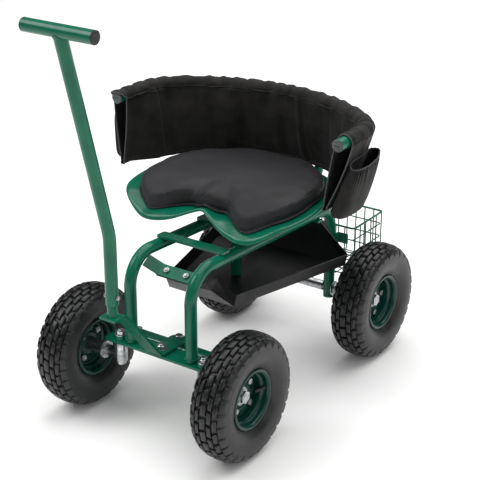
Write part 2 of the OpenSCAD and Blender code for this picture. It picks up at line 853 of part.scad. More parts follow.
// Knuckle of the right side: sleeve, stub axle, steering arm and tie-rod bolt
module knuckle() {
  hub_end = front_track / 2 - hub_inboard - seat_gap - kingpin_gap / 2;
  hub_middle = front_track / 2 - kingpin_gap / 2;
  color(zinc)
    translate([kingpin_gap / 2, front_axle_y, 0]) {
      difference() {
        union() {
          translate([0, 0, sleeve_top - knuckle_sleeve_h])
            cylinder(d = knuckle_sleeve_d, h = knuckle_sleeve_h, $fn = mid);
          translate([0, 0, arm_top - arm_t])
            linear_extrude(height = arm_t)
              rotate([0, 0, 90])
                slot_outline(0, steer_arm, arm_w);
          translate([0, 0, wheel_h])
            rotate([0, 90, 0]) {
              cylinder(d = axle_d, h = hub_middle + axle_end, $fn = mid);
              cylinder(d = stub_shoulder_d, h = hub_end, $fn = mid);
            }
        }
        translate([0, 0, sleeve_top - knuckle_sleeve_h - overrun])
          cylinder(d = kingpin_d + 2 * run_fit, h = knuckle_sleeve_h + 2 * overrun, $fn = mid);
        translate([0, steer_arm, arm_top - arm_t - overrun])
          cylinder(d = tie_bolt_d + 2 * bolt_play, h = arm_t + 2 * overrun, $fn = mid);
      }
      translate([hub_middle, 0, wheel_h]) rotate([0, 90, 0]) axle_nut();
      translate([0, steer_arm, arm_top - arm_t - seat_gap])
        bolt(tie_bolt_d, arm_t + tie_t + 2 * seat_gap, false);
    }
}

module knuckle_right() knuckle();

module knuckle_left() mirror([1, 0, 0]) knuckle();

// Handle

handle_bend_r = 120;
grip_r = handle_d / 2;
handle_cut = grip_r + seat_gap;
handle_steps = [
  ["run", handle_bend_h - handle_foot_h - handle_bend_r * tan(handle_lean / 2)],
  ["bend", handle_bend_r, handle_lean],
  ["run", handle_rise / cos(handle_lean) - handle_bend_r * tan(handle_lean / 2)]
];

module handle_shaft() {
  color(green)
    difference() {
      translate([0, front_axle_y - lever_reach, handle_foot_h])
        rotate([0, 0, -90])
          tube_path(handle_steps, handle_d);
      grip_place() cylinder(r = handle_cut, h = 2 * handle_d, center = true, $fn = mid);
      translate([0, front_axle_y - lever_reach, handle_pin_h])
        rotate([0, 90, 0])
          cylinder(d = handle_pin_d + 2 * bolt_play, h = 2 * handle_d, center = true, $fn = small);
    }
}

module handle_bolt() {
  color(zinc)
    translate([-handle_d / 2 - seat_gap, front_axle_y - lever_reach, handle_pin_h])
      rotate([0, 90, 0])
        bolt(handle_pin_d, handle_d + seat_gap, false);
}

// Frame along the grip, with +Z along its length
module grip_place() {
  translate([0, front_axle_y - grip_ahead, grip_h]) rotate([0, 90, 0]) children();
}

plug_t = 3;
plug_in = 12;

module handle_grip() {
  color(green)
    grip_place()
      difference() {
        cylinder(d = handle_d, h = grip_l, center = true, $fn = mid);
        cylinder(d = handle_d - 2 * tube_wall, h = grip_l + 2 * overrun, center = true, $fn = mid);
      }
}

// Push-in plug of a tube's end, from the end face toward +Z
module tube_plug(d) {
  cap_r = d / 2;
  rotate_extrude($fn = mid)
    polygon([
      [0, -plug_in], [cap_r - tube_wall - bolt_play, -plug_in], [cap_r - tube_wall - bolt_play, 0],
      [cap_r, 0], [cap_r, plug_t * 0.5], [cap_r * 0.86, plug_t * 0.9], [cap_r * 0.6, plug_t], [0, plug_t]
    ]);
}

module grip_plugs() {
  color(black)
    grip_place()
      for (side = [0, 1])
        mirror([0, 0, side]) translate([0, 0, grip_l / 2 + seat_gap / 2]) tube_plug(handle_d);
}

// Wheels, built about the wheel's middle with +Z toward the outboard side

crown_r = tyre_d / 2 - tread_h;
bead_r = rim_flange_r - rim_flange_h + seat_gap;
bead_x = rim_w / 2 - rim_t - seat_gap;
bead_overhang = 1.5;
bead_top = rim_flange_r + bead_overhang;
row_root_share = 0.83;
// Height and width shares of the sidewall from the rim's flange to the tread
sidewall_shares = [[0.08, 0.75], [0.25, 0.93], [0.5, 1], [0.75, 0.99], [0.9, 0.93], [1, 0.62]];
// Width shares of the tread rows: start, end, phase in blocks
middle_row_shares = [-0.2, 0.2, 0];
inner_row_shares = [0.275, 0.6, 0.5];
shoulder_row_shares = [0.675, 0.95, 0];
// Share of the pitch that a block fills
block_share = 0.78;
shoulder_drop = 5;

function side_points(r, half, bead) = concat(
  [[bead_r, bead], [bead_top, bead]],
  [for (s = sidewall_shares) [mix(bead_top, r, s[0]), s[1] * half]]
);

// Outline of a ring of blocks with its corners on radius r and its roots on radius root
function block_ring(root, r, phase) =
  [for (i = [0 : tread_blocks - 1])
    for (c = [[root, -block_share / 1.9], [r, -block_share / 2], [r, block_share / 2], [root, block_share / 1.9]])
      let (w = (i + phase + block_share / 2 + c[1]) * 360 / tread_blocks)
        c[0] * [cos(w), sin(w)]];

module tread_row(shares, r) {
  half = tyre_w / 2;
  root = mix(bead_top, crown_r, row_root_share);
  translate([0, 0, shares[0] * half])
    linear_extrude(height = (shares[1] - shares[0]) * half)
      difference() {
        polygon(block_ring(root, r, shares[2]));
        circle(r = root - casing_t / 4, $fn = fine);
      }
}

module tyre() {
  casing = side_points(crown_r, tyre_w / 2, bead_x);
  hollow = side_points(crown_r - casing_t, tyre_w / 2 - casing_t, bead_x - casing_t);
  well = [[bead_r - rim_flange_h, bead_x - casing_t]];
  color(rubber)
    difference() {
      union() {
        rotate_extrude($fn = fine) polygon(concat(casing, reversed(flip_y(casing))));
        tread_row(middle_row_shares, tyre_d / 2);
        for (side = [0, 1])
          mirror([0, 0, side]) {
            tread_row(inner_row_shares, tyre_d / 2);
            tread_row(shoulder_row_shares, tyre_d / 2 - shoulder_drop);
          }
      }
      rotate_extrude($fn = fine)
        polygon(concat(well, hollow, reversed(flip_y(hollow)), flip_y(well)));
    }
}

disc_t = 4;
disc_back = -6;
disc_land = 2;
valve_d = 8;
valve_out = 17;

module rim() {
  half = rim_w / 2;
  seat_r = rim_flange_r - rim_flange_h;
  inner_r = seat_r - rim_t;
  hole_r = hub_d / 2 + seat_gap / 2;
  land = bolt_circle_r - hole_r;
  slope = disc_land;
  front = disc_back + disc_t;
  color(rim_green)
    difference() {
      union() {
        // Barrel with its two flanges
        rotate_extrude($fn = fine)
          polygon([
            [inner_r, -half], [rim_flange_r, -half], [rim_flange_r, -half + rim_t], [seat_r, -half + rim_t],
            [seat_r, half - rim_t], [rim_flange_r, half - rim_t], [rim_flange_r, half], [inner_r, half]
          ]);
        // Pressed disc with a raised land under the bolts
        rotate_extrude($fn = fine)
          polygon([
            [hole_r, disc_back], [bolt_circle_r - land / 2, disc_back],
            [bolt_circle_r - land / 2 + slope, disc_back + disc_land],
            [bolt_circle_r + land / 2 - slope, disc_back + disc_land],
            [bolt_circle_r + land / 2, disc_back], [inner_r + rim_t / 2, disc_back],
            [inner_r + rim_t / 2, front], [bolt_circle_r + land / 2, front],
            [bolt_circle_r + land / 2 - slope, front + disc_land],
            [bolt_circle_r - land / 2 + slope, front + disc_land],
            [bolt_circle_r - land / 2, front], [hole_r, front]
          ]);
      }
      for (i = [0 : 3])
        rotate([0, 0, 45 + 90 * i])
          translate([bolt_circle_r, 0, disc_back - overrun])
            cylinder(d = wheel_bolt_d + 2 * bolt_play, h = disc_t + disc_land + 2 * overrun, $fn = small);
      translate([0, 0, valve_out])
        rotate([0, 90, 0])
          cylinder(d = valve_d + 2 * bolt_play, h = rim_flange_r, $fn = small);
    }
  // Valve stem, from inside the tyre through the barrel toward the hub
  color(black)
    translate([inner_r - valve_d * 2, 0, valve_out])
      rotate([0, 90, 0]) {
        cylinder(d = valve_d * 0.6, h = valve_d, $fn = small);
        translate([0, 0, valve_d / 2]) cylinder(d = valve_d, h = valve_d * 1.5 + rim_t, $fn = small);
      }
}

module hub() {
  cup_l = 9;
  cup_gap = disc_back + disc_t + seat_gap;
  color(zinc)
    difference() {
      union() {
        translate([0, 0, -hub_inboard]) cylinder(d = hub_d, h = hub_inboard + hub_outboard, $fn = mid);
        translate([0, 0, -hub_inboard]) cylinder(d = bearing_d, h = cup_l, $fn = mid);
        translate([0, 0, cup_gap]) cylinder(d = bearing_d, h = hub_outboard - cup_gap, $fn = mid);
      }
      translate([0, 0, -hub_inboard - overrun])
        cylinder(d = axle_d + 2 * run_fit, h = hub_inboard + hub_outboard + 2 * overrun, $fn = mid);
    }
}

module wheel_bolts() {
  color(zinc)
    for (i = [0 : 3])
      rotate([0, 0, 45 + 90 * i])
        translate([bolt_circle_r, 0, disc_back + disc_land + disc_t + seat_gap])
          mirror([0, 0, 1])
            bolt(wheel_bolt_d, disc_t + seat_gap, false);
}

// Turns a wheel's own frame to its place; side is -1 for the left and 1 for the right
module at_wheel(side, y, track, turn) {
  translate([side * track / 2, y, wheel_h])
    mirror([side < 0 ? 1 : 0, 0, 0])
      rotate([turn, 0, 0])
        rotate([0, 90, 0])
          children();
}

// Turn of each wheel about its axle, as it came to rest
front_turn = 0;
rear_turn = 143;

module at_front_left() at_wheel(-1, front_axle_y, front_track, front_turn) children();

module at_front_right() at_wheel(1, front_axle_y, front_track, front_turn) children();

module at_rear_left() at_wheel(-1, rear_axle_y, rear_track, rear_turn) children();

module at_rear_right() at_wheel(1, rear_axle_y, rear_track, rear_turn) children();

// Seat

// Outline and rim height of the pan against the angle from the front, as shares of pan_r and pan_rise
pan_outline_shares = [[0, 0.567], [23, 1.1], [50, 1.1], [90, 1], [180, 0.952]];
pan_height_shares = [[0, 0.18], [23, -0.21], [53, 0.61], [90, 1], [180, 0.5]];
// Outline of the cushion, as shares of cushion_r
cushion_outline_shares = [[0, 0.66], [33, 1.116], [57, 1.042], [90, 1], [180, 0.984]];
seat_facets = 60;
pan_ring_shares = [0.12, 0.35, 0.55, 0.75, 0.9];
rim_roll = 8;
// Radius and height of the cushion's side, as shares of its edge thickness, from its base up
cushion_side_shares = [[-0.28, 0], [-0.08, 0.14], [0, 0.4], [-0.02, 0.66], [-0.12, 0.87], [-0.33, 1]];
cushion_ring_shares = [0.12, 0.4, 0.66];
crown_shares = [0.8, 0.55, 0.3, 0.1];

function from_front(i) = 360 * i / seat_facets;
function folded(angle) = angle > 180 ? 360 - angle : angle;
function pan_radius(w) = pan_r * share_at(folded(w), pan_outline_shares);
function cushion_radius(w) = cushion_r * share_at(folded(w), cushion_outline_shares);
// Height of the pan's upper face over its middle, at a distance from the axis
function pan_dish(w, r) = pan_rise * share_at(folded(w), pan_height_shares) * pow(r / pan_radius(w), 3);
// Point of the seat at an angle from the front, counted toward the right side
function seat_point(w, r, z) = [r * sin(w), -r * cos(w), z];
function pan_ring(share, inset, drop) =
  [for (i = [0 : seat_facets - 1]) let (w = from_front(i), r = pan_radius(w) * share - inset)
    seat_point(w, r, pan_dish(w, r) - drop)];

module seat_pan() {
  upper = concat([for (s = reversed(pan_ring_shares)) pan_ring(s, 0, 0)]);
  lower = [for (s = pan_ring_shares) pan_ring(s, 0, pan_t)];
  rolled = [pan_ring(1, 3 * pan_t, pan_t), pan_ring(1, pan_t, rim_roll), pan_ring(1, 0, rim_roll),
    pan_ring(1, 0, pan_t), pan_ring(1, pan_t, 0)];
  color(green)
    translate([0, seat_y, seat_h])
      difference() {
        loft(concat(lower, rolled, upper));
        for (x = [-1, 1])
          for (y = [-1, 1])
            translate([x * plate_bolt_x, y * plate_bolt_x, -pan_t - overrun])
              cylinder(d = seat_bolt_d + 2 * bolt_play, h = pan_t + 4 * overrun, $fn = small);
      }
}

function cushion_base(w, r) = pan_dish(w, r) + 2 * seat_gap;
function cushion_ring(share, inset, lift) =
  [for (i = [0 : seat_facets - 1]) let (w = from_front(i), r = cushion_radius(w) * share + inset)
    seat_point(w, r, cushion_base(w, r) + lift)];

module seat_cushion() {
  base = [for (s = cushion_ring_shares) cushion_ring(s, 0, 0)];
  sides = [for (s = cushion_side_shares) cushion_ring(1, s[0] * cushion_t, s[1] * cushion_t)];
  crown = [for (s = crown_shares) cushion_ring(s, 0, cushion_t + cushion_crown * (1 - s * s))];
  color(charcoal) translate([0, seat_y, seat_h]) loft(concat(base, sides, crown));
}

module seat_post() {
  post_foot = column_top - seat_travel - post_hold;
  color(zinc)
    translate([0, seat_y, post_foot])
      cylinder(d = post_d, h = swivel_h - seat_gap - post_foot, $fn = mid);
}

plate_half = 70;
plate_bolt_x = 50;
seat_bolt_d = 8;
swivel_socket_d = 40;
upright_d = 20;
upright_x = 70;
upright_bend_r = 45;
upright_lean = 12;
upright_front = 40;
back_h = seat_h + back_lift;
upright_h = swivel_h - upright_d / 2 - seat_gap;

module swivel_plate() {
  socket_l = swivel_h - column_top - seat_gap;
  color(green)
    translate([0, seat_y, swivel_h])
      difference() {
        union() {
          linear_extrude(height = swivel_t) rounded_rect(2 * plate_half + upright_d, 2 * plate_half, 2 * swivel_t);
          translate([0, 0, -socket_l]) cylinder(d = swivel_socket_d, h = socket_l, $fn = mid);
        }
        translate([0, 0, -socket_l - overrun])
          cylinder(d = post_d + 2 * run_fit, h = socket_l + overrun, $fn = mid);
        for (x = [-1, 1])
          for (y = [-1, 1])
            translate([x * plate_bolt_x, y * plate_bolt_x, -overrun])
              cylinder(d = seat_bolt_d + 2 * bolt_play, h = swivel_t + 2 * overrun, $fn = small);
      }
}

// Back rail

back_turn = 50;
back_straight = 80;
back_arc_r = (back_half_w - back_corner_r * (1 - cos(back_turn))) / cos(back_turn);
back_corner_y = back_straight - back_reach;
back_arc_y = back_corner_y + (back_corner_r - back_arc_r) * sin(back_turn);

// One arc of the back rail, and its bore, about the arc's own centre
module rail_arc(r, from, to, d, grow = 0) {
  rotate([0, 0, from])
    rotate_extrude(angle = to - from, $fn = 2 * fine)
      translate([r, 0])
        circle(d = d + grow, $fn = mid);
}

// Solid along the back rail; the corners stand a little proud of what enters them
module back_rail_solid(d, out = 0) {
  translate([0, back_arc_y, 0])
    rail_arc(back_arc_r, back_turn - arc_lap, 180 - back_turn + arc_lap, d - bend_swell);
  mirrored() {
    translate([back_half_w - back_corner_r, back_corner_y, 0]) rail_arc(back_corner_r, 0, back_turn, d);
    translate([back_half_w, -back_reach - out, 0])
      rotate([-90, 0, 0])
        cylinder(d = d - bend_swell, h = back_straight + out + run_lap, $fn = mid);
  }
}

arc_lap = 0.3;

module back_rail() {
  color(green)
    translate([0, seat_y, back_h])
      difference() {
        back_rail_solid(back_tube_d);
        back_rail_solid(back_tube_d - 2 * tube_wall, overrun);
      }
}

module back_rail_plugs() {
  slot_w = 2;
  color(green)
    translate([0, seat_y, back_h])
      mirrored()
        translate([back_half_w, -back_reach - seat_gap / 2, 0])
          rotate([90, 0, 0])
            difference() {
              tube_plug(back_tube_d);
              translate([-back_tube_d / 4, -slot_w / 2, plug_t / 2]) cube([back_tube_d / 2, slot_w, plug_t]);
            }
}

upright_tip = back_tube_d / 2 + seat_gap;
upright_end_y = back_arc_y + sqrt(back_arc_r * back_arc_r - upright_x * upright_x);
upright_run = (back_h - upright_tip * cos(upright_lean) - upright_h
  - upright_bend_r * (1 + sin(upright_lean))) / cos(upright_lean);
upright_bend_y = upright_end_y + (upright_tip + upright_run) * sin(upright_lean) - upright_bend_r * cos(upright_lean);
upright_steps = [
  ["run", upright_bend_y + upright_front], ["bend", upright_bend_r, 90 + upright_lean], ["run", upright_run]
];

module upright_place() {
  for (x = [-1, 1])
    translate([x * upright_x, seat_y - upright_front, upright_h])
      rotate([-90, 0, 0])
        rotate([0, 0, -90])
          children();
}

module back_uprights() {
  color(green) upright_place() tube_path(upright_steps, upright_d);
}

// Sleeve: a folded cloth bag that hangs over the back rail along its whole length

sleeve_ease = 5;
sleeve_roll_r = back_tube_d / 2 + sleeve_ease;
sleeve_hollow_r = sleeve_roll_r - cloth_t;
sleeve_roll_h = back_tube_d / 2 + seat_gap - sleeve_hollow_r;
sleeve_tip = 10;
sleeve_low_half = cloth_t;
sleeve_low = sleeve_roll_h + sleeve_roll_r - sleeve_h;
// Height and width shares of a hanging panel between its roll and its lower edge
panel_shares = [[0.35, 0.78], [0.7, 0.42]];

// Section of the sleeve across the rail, with its roll of radius r and lower edge of half width low
function sleeve_section(r, half, low) = concat(
  [for (i = [0 : 10]) let (w = mix(-14, 194, i / 10)) [r * cos(w), sleeve_roll_h + r * sin(w)]],
  [for (s = panel_shares) [-mix(0, r, s[1]) - half * s[0], mix(sleeve_roll_h, low, s[0])]],
  [[-half, low], [half, low]],
  [for (s = reversed(panel_shares)) [mix(0, r, s[1]) + half * s[0], mix(sleeve_roll_h, low, s[0])]]
);

// Stations along the back rail: place in plan and heading from +Y toward +X
function rail_stations(tip) = let (
    first = -back_reach + tip,
    left = concat(
      [for (i = [0 : 2]) [-back_half_w, mix(first, back_corner_y, i / 3), 0]],
      [for (i = [0 : 5]) let (w = back_turn * i / 6)
        [-back_half_w + back_corner_r * (1 - cos(w)), back_corner_y + back_corner_r * sin(w), w]],
      [for (i = [0 : 7]) let (w = mix(back_turn, 90, i / 8))
        [-back_arc_r * cos(w), back_arc_y + back_arc_r * sin(w), w]]
    )
  )
  concat(left, [[0, back_arc_y + back_arc_r, 90]], [for (s = reversed(left)) [-s[0], s[1], 180 - s[2]]]);

function ring_at(station, section) =
  [for (p = section) [station[0] - cos(station[2]) * p[0], station[1] + sin(station[2]) * p[0], p[1]]];

module tool_sleeve() {
  skin = sleeve_section(sleeve_roll_r, sleeve_low_half, sleeve_low);
  inside = sleeve_section(sleeve_hollow_r, seat_gap, sleeve_low + 2 * cloth_t);
  color(cloth)
    difference() {
      translate([0, seat_y, back_h])
        difference() {
          loft([for (s = rail_stations(sleeve_tip)) ring_at(s, skin)]);
          loft([for (s = rail_stations(sleeve_tip - overrun)) ring_at(s, inside)]);
        }
      upright_place() rod_path(upright_steps, upright_d + 2 * overrun, 0, overrun);
    }
}

// Side pockets: open bags that bulge from the sleeve's outer panel

pocket_l = 118;
pocket_start = 14;
// Space between a pocket's flat back and the sleeve, which its facets cross where the rail bends
pocket_gap = 0.9;
pocket_drop = 26;
pocket_low = sleeve_low - pocket_drop;
// Height, length and depth shares of the pocket from its bottom to its gathered mouth
pocket_shares = [[0, 0.78, 0.55], [0.06, 0.92, 0.86], [0.3, 1, 1], [0.7, 1, 0.98], [0.9, 0.95, 0.9], [1, 0.88, 0.8]];
pocket_facets = 40;
pocket_corner = 0.6;

// Half width of the sleeve at a height over the rail
function panel_half(z) =
  let (t = max(0, min(1, (sleeve_roll_h - z) / (sleeve_roll_h - sleeve_low))))
  sleeve_roll_r * lookup(t, concat([[0, 1]], panel_shares, [[1, 0]])) + sleeve_low_half * t;
// Place in plan of a point at a distance along the left side's rail and outward from it
function beside_rail(s, n) = s < back_straight
  ? [-back_half_w - n, s - back_reach]
  : let (w = (s - back_straight) / back_corner_r * 180 / PI)
    [-back_half_w + back_corner_r * (1 - cos(w)) - n * cos(w), back_corner_y + (back_corner_r + n) * sin(w)];
function squared(v) = sign(v) * pow(abs(v), pocket_corner);

// Ring of the pocket at a height, its back against the sleeve, drawn in by the wall
function pocket_ring(h, length, depth, wall) =
  let (back = panel_half(h) + pocket_gap + wall, front = panel_half(sleeve_roll_h) + depth - wall)
  [for (i = [0 : pocket_facets - 1])
    let (
      w = 360 * i / pocket_facets,
      s = pocket_start + pocket_l / 2 + (length / 2 - wall) * squared(cos(w)),
      p = beside_rail(s, mix(back, front, (1 + squared(sin(w))) / 2))
    )
    [p[0], p[1], h]];

module pocket() {
  outer = [for (s = pocket_shares)
    pocket_ring(pocket_low + s[0] * pocket_h, s[1] * pocket_l, s[2] * pocket_depth, 0)];
  inner = [for (s = pocket_shares)
    pocket_ring(pocket_low + cloth_t + s[0] * pocket_h, s[1] * pocket_l, s[2] * pocket_depth, cloth_t)];
  color(cloth) translate([0, seat_y, back_h]) difference() {
    loft(outer);
    loft(inner);
  }
}

module pocket_left() pocket();

module pocket_right() mirror([1, 0, 0]) pocket();

frame_tube_left();
frame_tube_right();
front_beam();
front_crossbar();
front_strap();
rear_strap();
seat_cross_plate();
seat_column();
rear_axle_tube();
rear_axle();
tool_tray();
tray_bolts();
basket_front();
basket_back();
basket_left();
basket_right();
basket_floor();
basket_brackets();
pivot_bolt();
kingpins();
steering_lever();
lever_bolt();
handle_shaft();
handle_bolt();
handle_grip();
grip_plugs();
tie_rod();
knuckle_left();
knuckle_right();
at_front_left() tyre();  // tyre_front_left
at_front_left() rim();  // rim_front_left
at_front_left() hub();  // hub_front_left
at_front_left() wheel_bolts();  // bolts_front_left
at_front_right() tyre();  // tyre_front_right
at_front_right() rim();  // rim_front_right
at_front_right() hub();  // hub_front_right
at_front_right() wheel_bolts();  // bolts_front_right
at_rear_left() tyre();  // tyre_rear_left
at_rear_left() rim();  // rim_rear_left
at_rear_left() hub();  // hub_rear_left
at_rear_left() wheel_bolts();  // bolts_rear_left
at_rear_right() tyre();  // tyre_rear_right
at_rear_right() rim();  // rim_rear_right
at_rear_right() hub();  // hub_rear_right
at_rear_right() wheel_bolts();  // bolts_rear_right
seat_post();
swivel_plate();
seat_pan();
seat_cushion();
back_uprights();
back_rail();
back_rail_plugs();
tool_sleeve();
pocket_left();
pocket_right();
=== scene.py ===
"""Looks of the rolling garden seat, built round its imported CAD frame.

Everything is in metres in the frame's own axes: +Z up, the pull handle toward -Y and the origin
on the floor under the middle of the outline. Sizes in this file are real millimetres times MM.
"""

import logging
import math
from dataclasses import dataclass
from enum import Enum
from typing import Callable, Sequence

import bmesh
import bpy
import numpy as np
from mathutils import Matrix, Vector
from mathutils.bvhtree import BVHTree


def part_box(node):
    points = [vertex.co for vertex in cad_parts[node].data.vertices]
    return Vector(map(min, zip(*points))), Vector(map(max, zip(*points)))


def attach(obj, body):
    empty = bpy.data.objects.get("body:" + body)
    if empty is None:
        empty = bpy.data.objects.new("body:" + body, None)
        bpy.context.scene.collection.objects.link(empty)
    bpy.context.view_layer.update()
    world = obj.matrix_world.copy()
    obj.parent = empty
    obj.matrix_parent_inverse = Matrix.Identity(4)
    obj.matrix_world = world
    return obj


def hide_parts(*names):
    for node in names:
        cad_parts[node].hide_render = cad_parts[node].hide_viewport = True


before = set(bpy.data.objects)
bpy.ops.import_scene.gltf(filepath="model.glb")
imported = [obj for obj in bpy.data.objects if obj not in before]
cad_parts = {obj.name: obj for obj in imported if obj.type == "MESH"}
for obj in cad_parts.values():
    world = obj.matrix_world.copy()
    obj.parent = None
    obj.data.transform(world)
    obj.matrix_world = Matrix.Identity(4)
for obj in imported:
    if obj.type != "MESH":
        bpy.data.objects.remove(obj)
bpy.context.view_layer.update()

LOG = logging.getLogger("garden_seat")
MM = 0.001
TURN = 2 * math.pi
# Bands in a unit of Blender's wave texture at scale 1.
WAVE_BANDS = 3.2

Points = np.ndarray
Faces = list[tuple[int, ...]]
Shape = tuple[Points, Faces]
Pairs = Sequence[tuple[float, float]]
Tree = bpy.types.NodeTree
Node = bpy.types.Node
Socket = bpy.types.NodeSocket
Mesh = bpy.types.Mesh
Piece = bpy.types.Object


class Side(Enum):
    """Side of the seat, as the sign of its X."""

    LEFT = -1
    RIGHT = 1


class Slot(str, Enum):
    """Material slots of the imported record."""

    GREEN = "green_paint"
    ZINC = "zinc_steel"
    RIM = "rim_paint"
    RUBBER = "tyre_rubber"
    BLACK = "black_paint"
    PLASTIC = "black_plastic"
    CUSHION = "cushion_vinyl"
    CLOTH = "sleeve_cloth"


# Finishes


def linear(code: str) -> tuple[float, float, float, float]:
    """Turns an sRGB hex colour, six digits after a hash, to linear light with an opaque alpha."""
    shares = [int(code[i : i + 2], 16) / 255 for i in (1, 3, 5)]
    turned = [s / 12.92 if s <= 0.04045 else ((s + 0.055) / 1.055) ** 2.4 for s in shares]
    return (*turned, 1.0)


def feed(tree: Tree, node: Node, inputs: dict) -> None:
    """Sets or links a node's inputs, given by name or place."""
    for key, value in inputs.items():
        if isinstance(value, Socket):
            tree.links.new(value, node.inputs[key])
        else:
            node.inputs[key].default_value = value


def add_node(tree: Tree, kind: str, inputs: dict | None = None, **settings) -> Node:
    """Adds a node.

    Args:
        tree: Tree that gets the node.
        kind: Blender's type name of the node.
        inputs: Value or source socket for each input, by name or place.
        **settings: Properties of the node.

    Returns:
        The new node.
    """
    node = tree.nodes.new(kind)
    for name, value in settings.items():
        setattr(node, name, value)
    feed(tree, node, inputs or {})
    return node


def calc(tree: Tree, operation: str, *values: Socket | float) -> Socket:
    """Adds a Math node and returns its result."""
    return add_node(tree, "ShaderNodeMath", dict(enumerate(values)), operation=operation).outputs["Value"]


def per_metre(size_mm: float) -> float:
    """Texture scale whose features are about size_mm millimetres across."""
    return 1 / (size_mm * MM)


def object_place(tree: Tree) -> Socket:
    """The surface's place in the object's own metres."""
    return add_node(tree, "ShaderNodeTexCoord").outputs["Object"]


def noise(tree: Tree, place: Socket, size_mm: float, detail: float = 3.0) -> Socket:
    """Adds a noise with features of size_mm millimetres and returns its value."""
    inputs = {"Vector": place, "Scale": per_metre(size_mm), "Detail": detail}
    return add_node(tree, "ShaderNodeTexNoise", inputs).outputs["Fac"]


def tone(tree: Tree, share: Socket, low: str, high: str, start: float = 0.3, end: float = 0.7) -> Socket:
    """Adds a colour that runs from low to high while the share runs from start to end."""
    ramp = add_node(tree, "ShaderNodeValToRGB", {"Fac": share})
    for element, position, code in zip(ramp.color_ramp.elements, (start, end), (low, high)):
        element.position = position
        element.color = linear(code)
    return ramp.outputs["Color"]


def span(tree: Tree, share: Socket, low: float, high: float) -> Socket:
    """Adds a number that runs from low to high with a share."""
    inputs = {"Value": share, "From Min": 0.3, "From Max": 0.7, "To Min": low, "To Max": high}
    return add_node(tree, "ShaderNodeMapRange", inputs).outputs["Result"]


def relief(
    tree: Tree, shader: Node, height: Socket, depth_mm: float, strength: float, under: Socket | None = None
) -> Socket:
    """Adds a bump of depth_mm millimetres under the shader, on top of another bump if given."""
    inputs = {"Height": height, "Distance": depth_mm * MM, "Strength": strength}
    if under is not None:
        inputs["Normal"] = under
    normal = add_node(tree, "ShaderNodeBump", inputs).outputs["Normal"]
    feed(tree, shader, {"Normal": normal})
    return normal


@dataclass(frozen=True)
class Finish:
    """A surface finish of one material slot, made a material once and then shared."""

    name: str
    slot: Slot

    def material(self) -> bpy.types.Material:
        """Returns the finish's material, made at the first call."""
        made = bpy.data.materials.get(self.name)
        if made is None:
            made = bpy.data.materials.new(self.name)
            made.use_nodes = True
            tree = made.node_tree
            self.dress(tree, tree.nodes["Principled BSDF"], object_place(tree))
        return made

    def dress(self, tree: Tree, shader: Node, place: Socket) -> None:
        """Sets the shader's sockets; each kind of finish has its own."""
        raise NotImplementedError


@dataclass(frozen=True)
class PowderCoat(Finish):
    """Polyester powder coat baked on steel: a deep even colour under a clear gloss, with a
    faint orange peel that breaks the edges of highlights."""

    colour: str
    shade: str
    roughness: float
    coat: float

    def dress(self, tree: Tree, shader: Node, place: Socket) -> None:
        """Sets colour, gloss and orange peel. The peel is drawn coarser than its real 1 mm."""
        cloud = noise(tree, place, 45)
        feed(tree, shader, {
            "Base Color": tone(tree, cloud, self.shade, self.colour),
            "Roughness": span(tree, cloud, self.roughness * 1.15, self.roughness * 0.85),
            "Specular IOR Level": 0.28,
            "Coat Weight": self.coat,
            "Coat Roughness": 0.12,
        })
        relief(tree, shader, noise(tree, place, 3.5, 1.5), 0.12, 0.35)


@dataclass(frozen=True)
class ZincPlate(Finish):
    """Bright zinc plate on steel: pale metal with soft clouded spangle and fine scratches."""

    colour: str = "#cfd1d2"
    shade: str = "#9fa3a6"

    def dress(self, tree: Tree, shader: Node, place: Socket) -> None:
        """Sets the metal's colour, its uneven gloss and its scratches."""
        cloud = noise(tree, place, 9)
        feed(tree, shader, {
            "Base Color": tone(tree, cloud, self.shade, self.colour),
            "Roughness": span(tree, cloud, 0.42, 0.26),
            "Metallic": 1.0,
        })
        drawn = add_node(tree, "ShaderNodeMapping", {"Vector": place, "Scale": (1.0, 1.0, 0.08)})
        relief(tree, shader, noise(tree, drawn.outputs["Vector"], 0.8, 4), 0.05, 0.3)


@dataclass(frozen=True)
class TyreRubber(Finish):
    """Carbon-black rubber cured in a turned mould: satin where it is clean, duller where it is
    dusty, with the mould's fine turning rings round the sidewall."""

    centre: tuple[float, float, float]
    wall_half: float
    ring_mm: float = 2.6
    colour: str = "#1f2021"
    shade: str = "#111213"

    def dress(self, tree: Tree, shader: Node, place: Socket) -> None:
        """Sets the rubber's dust, grain and rings about the wheel's own axle."""
        cloud = noise(tree, place, 22, 5)
        feed(tree, shader, {
            "Base Color": tone(tree, cloud, self.shade, self.colour, 0.35, 0.65),
            "Roughness": span(tree, cloud, 0.34, 0.48),
            "Specular IOR Level": 0.5,
        })
        centred = add_node(tree, "ShaderNodeVectorMath", {0: place, 1: self.centre}, operation="SUBTRACT")
        parts = add_node(tree, "ShaderNodeSeparateXYZ", {"Vector": centred.outputs["Vector"]}).outputs
        flat = add_node(tree, "ShaderNodeCombineXYZ", {"Y": parts["Y"], "Z": parts["Z"]})
        radius = add_node(tree, "ShaderNodeVectorMath", {0: flat.outputs["Vector"]}, operation="LENGTH")
        phase = calc(tree, "MULTIPLY", radius.outputs["Value"], TURN * per_metre(self.ring_mm))
        wall = {"From Min": self.wall_half * 0.8, "From Max": self.wall_half * 0.88}
        on_wall = add_node(tree, "ShaderNodeMapRange", {"Value": calc(tree, "ABSOLUTE", parts["X"]), **wall})
        rings = calc(tree, "MULTIPLY", calc(tree, "SINE", phase), on_wall.outputs["Result"])
        grain = relief(tree, shader, noise(tree, place, 1.6, 4), 0.18, 0.5)
        relief(tree, shader, rings, 0.09, 0.35, grain)


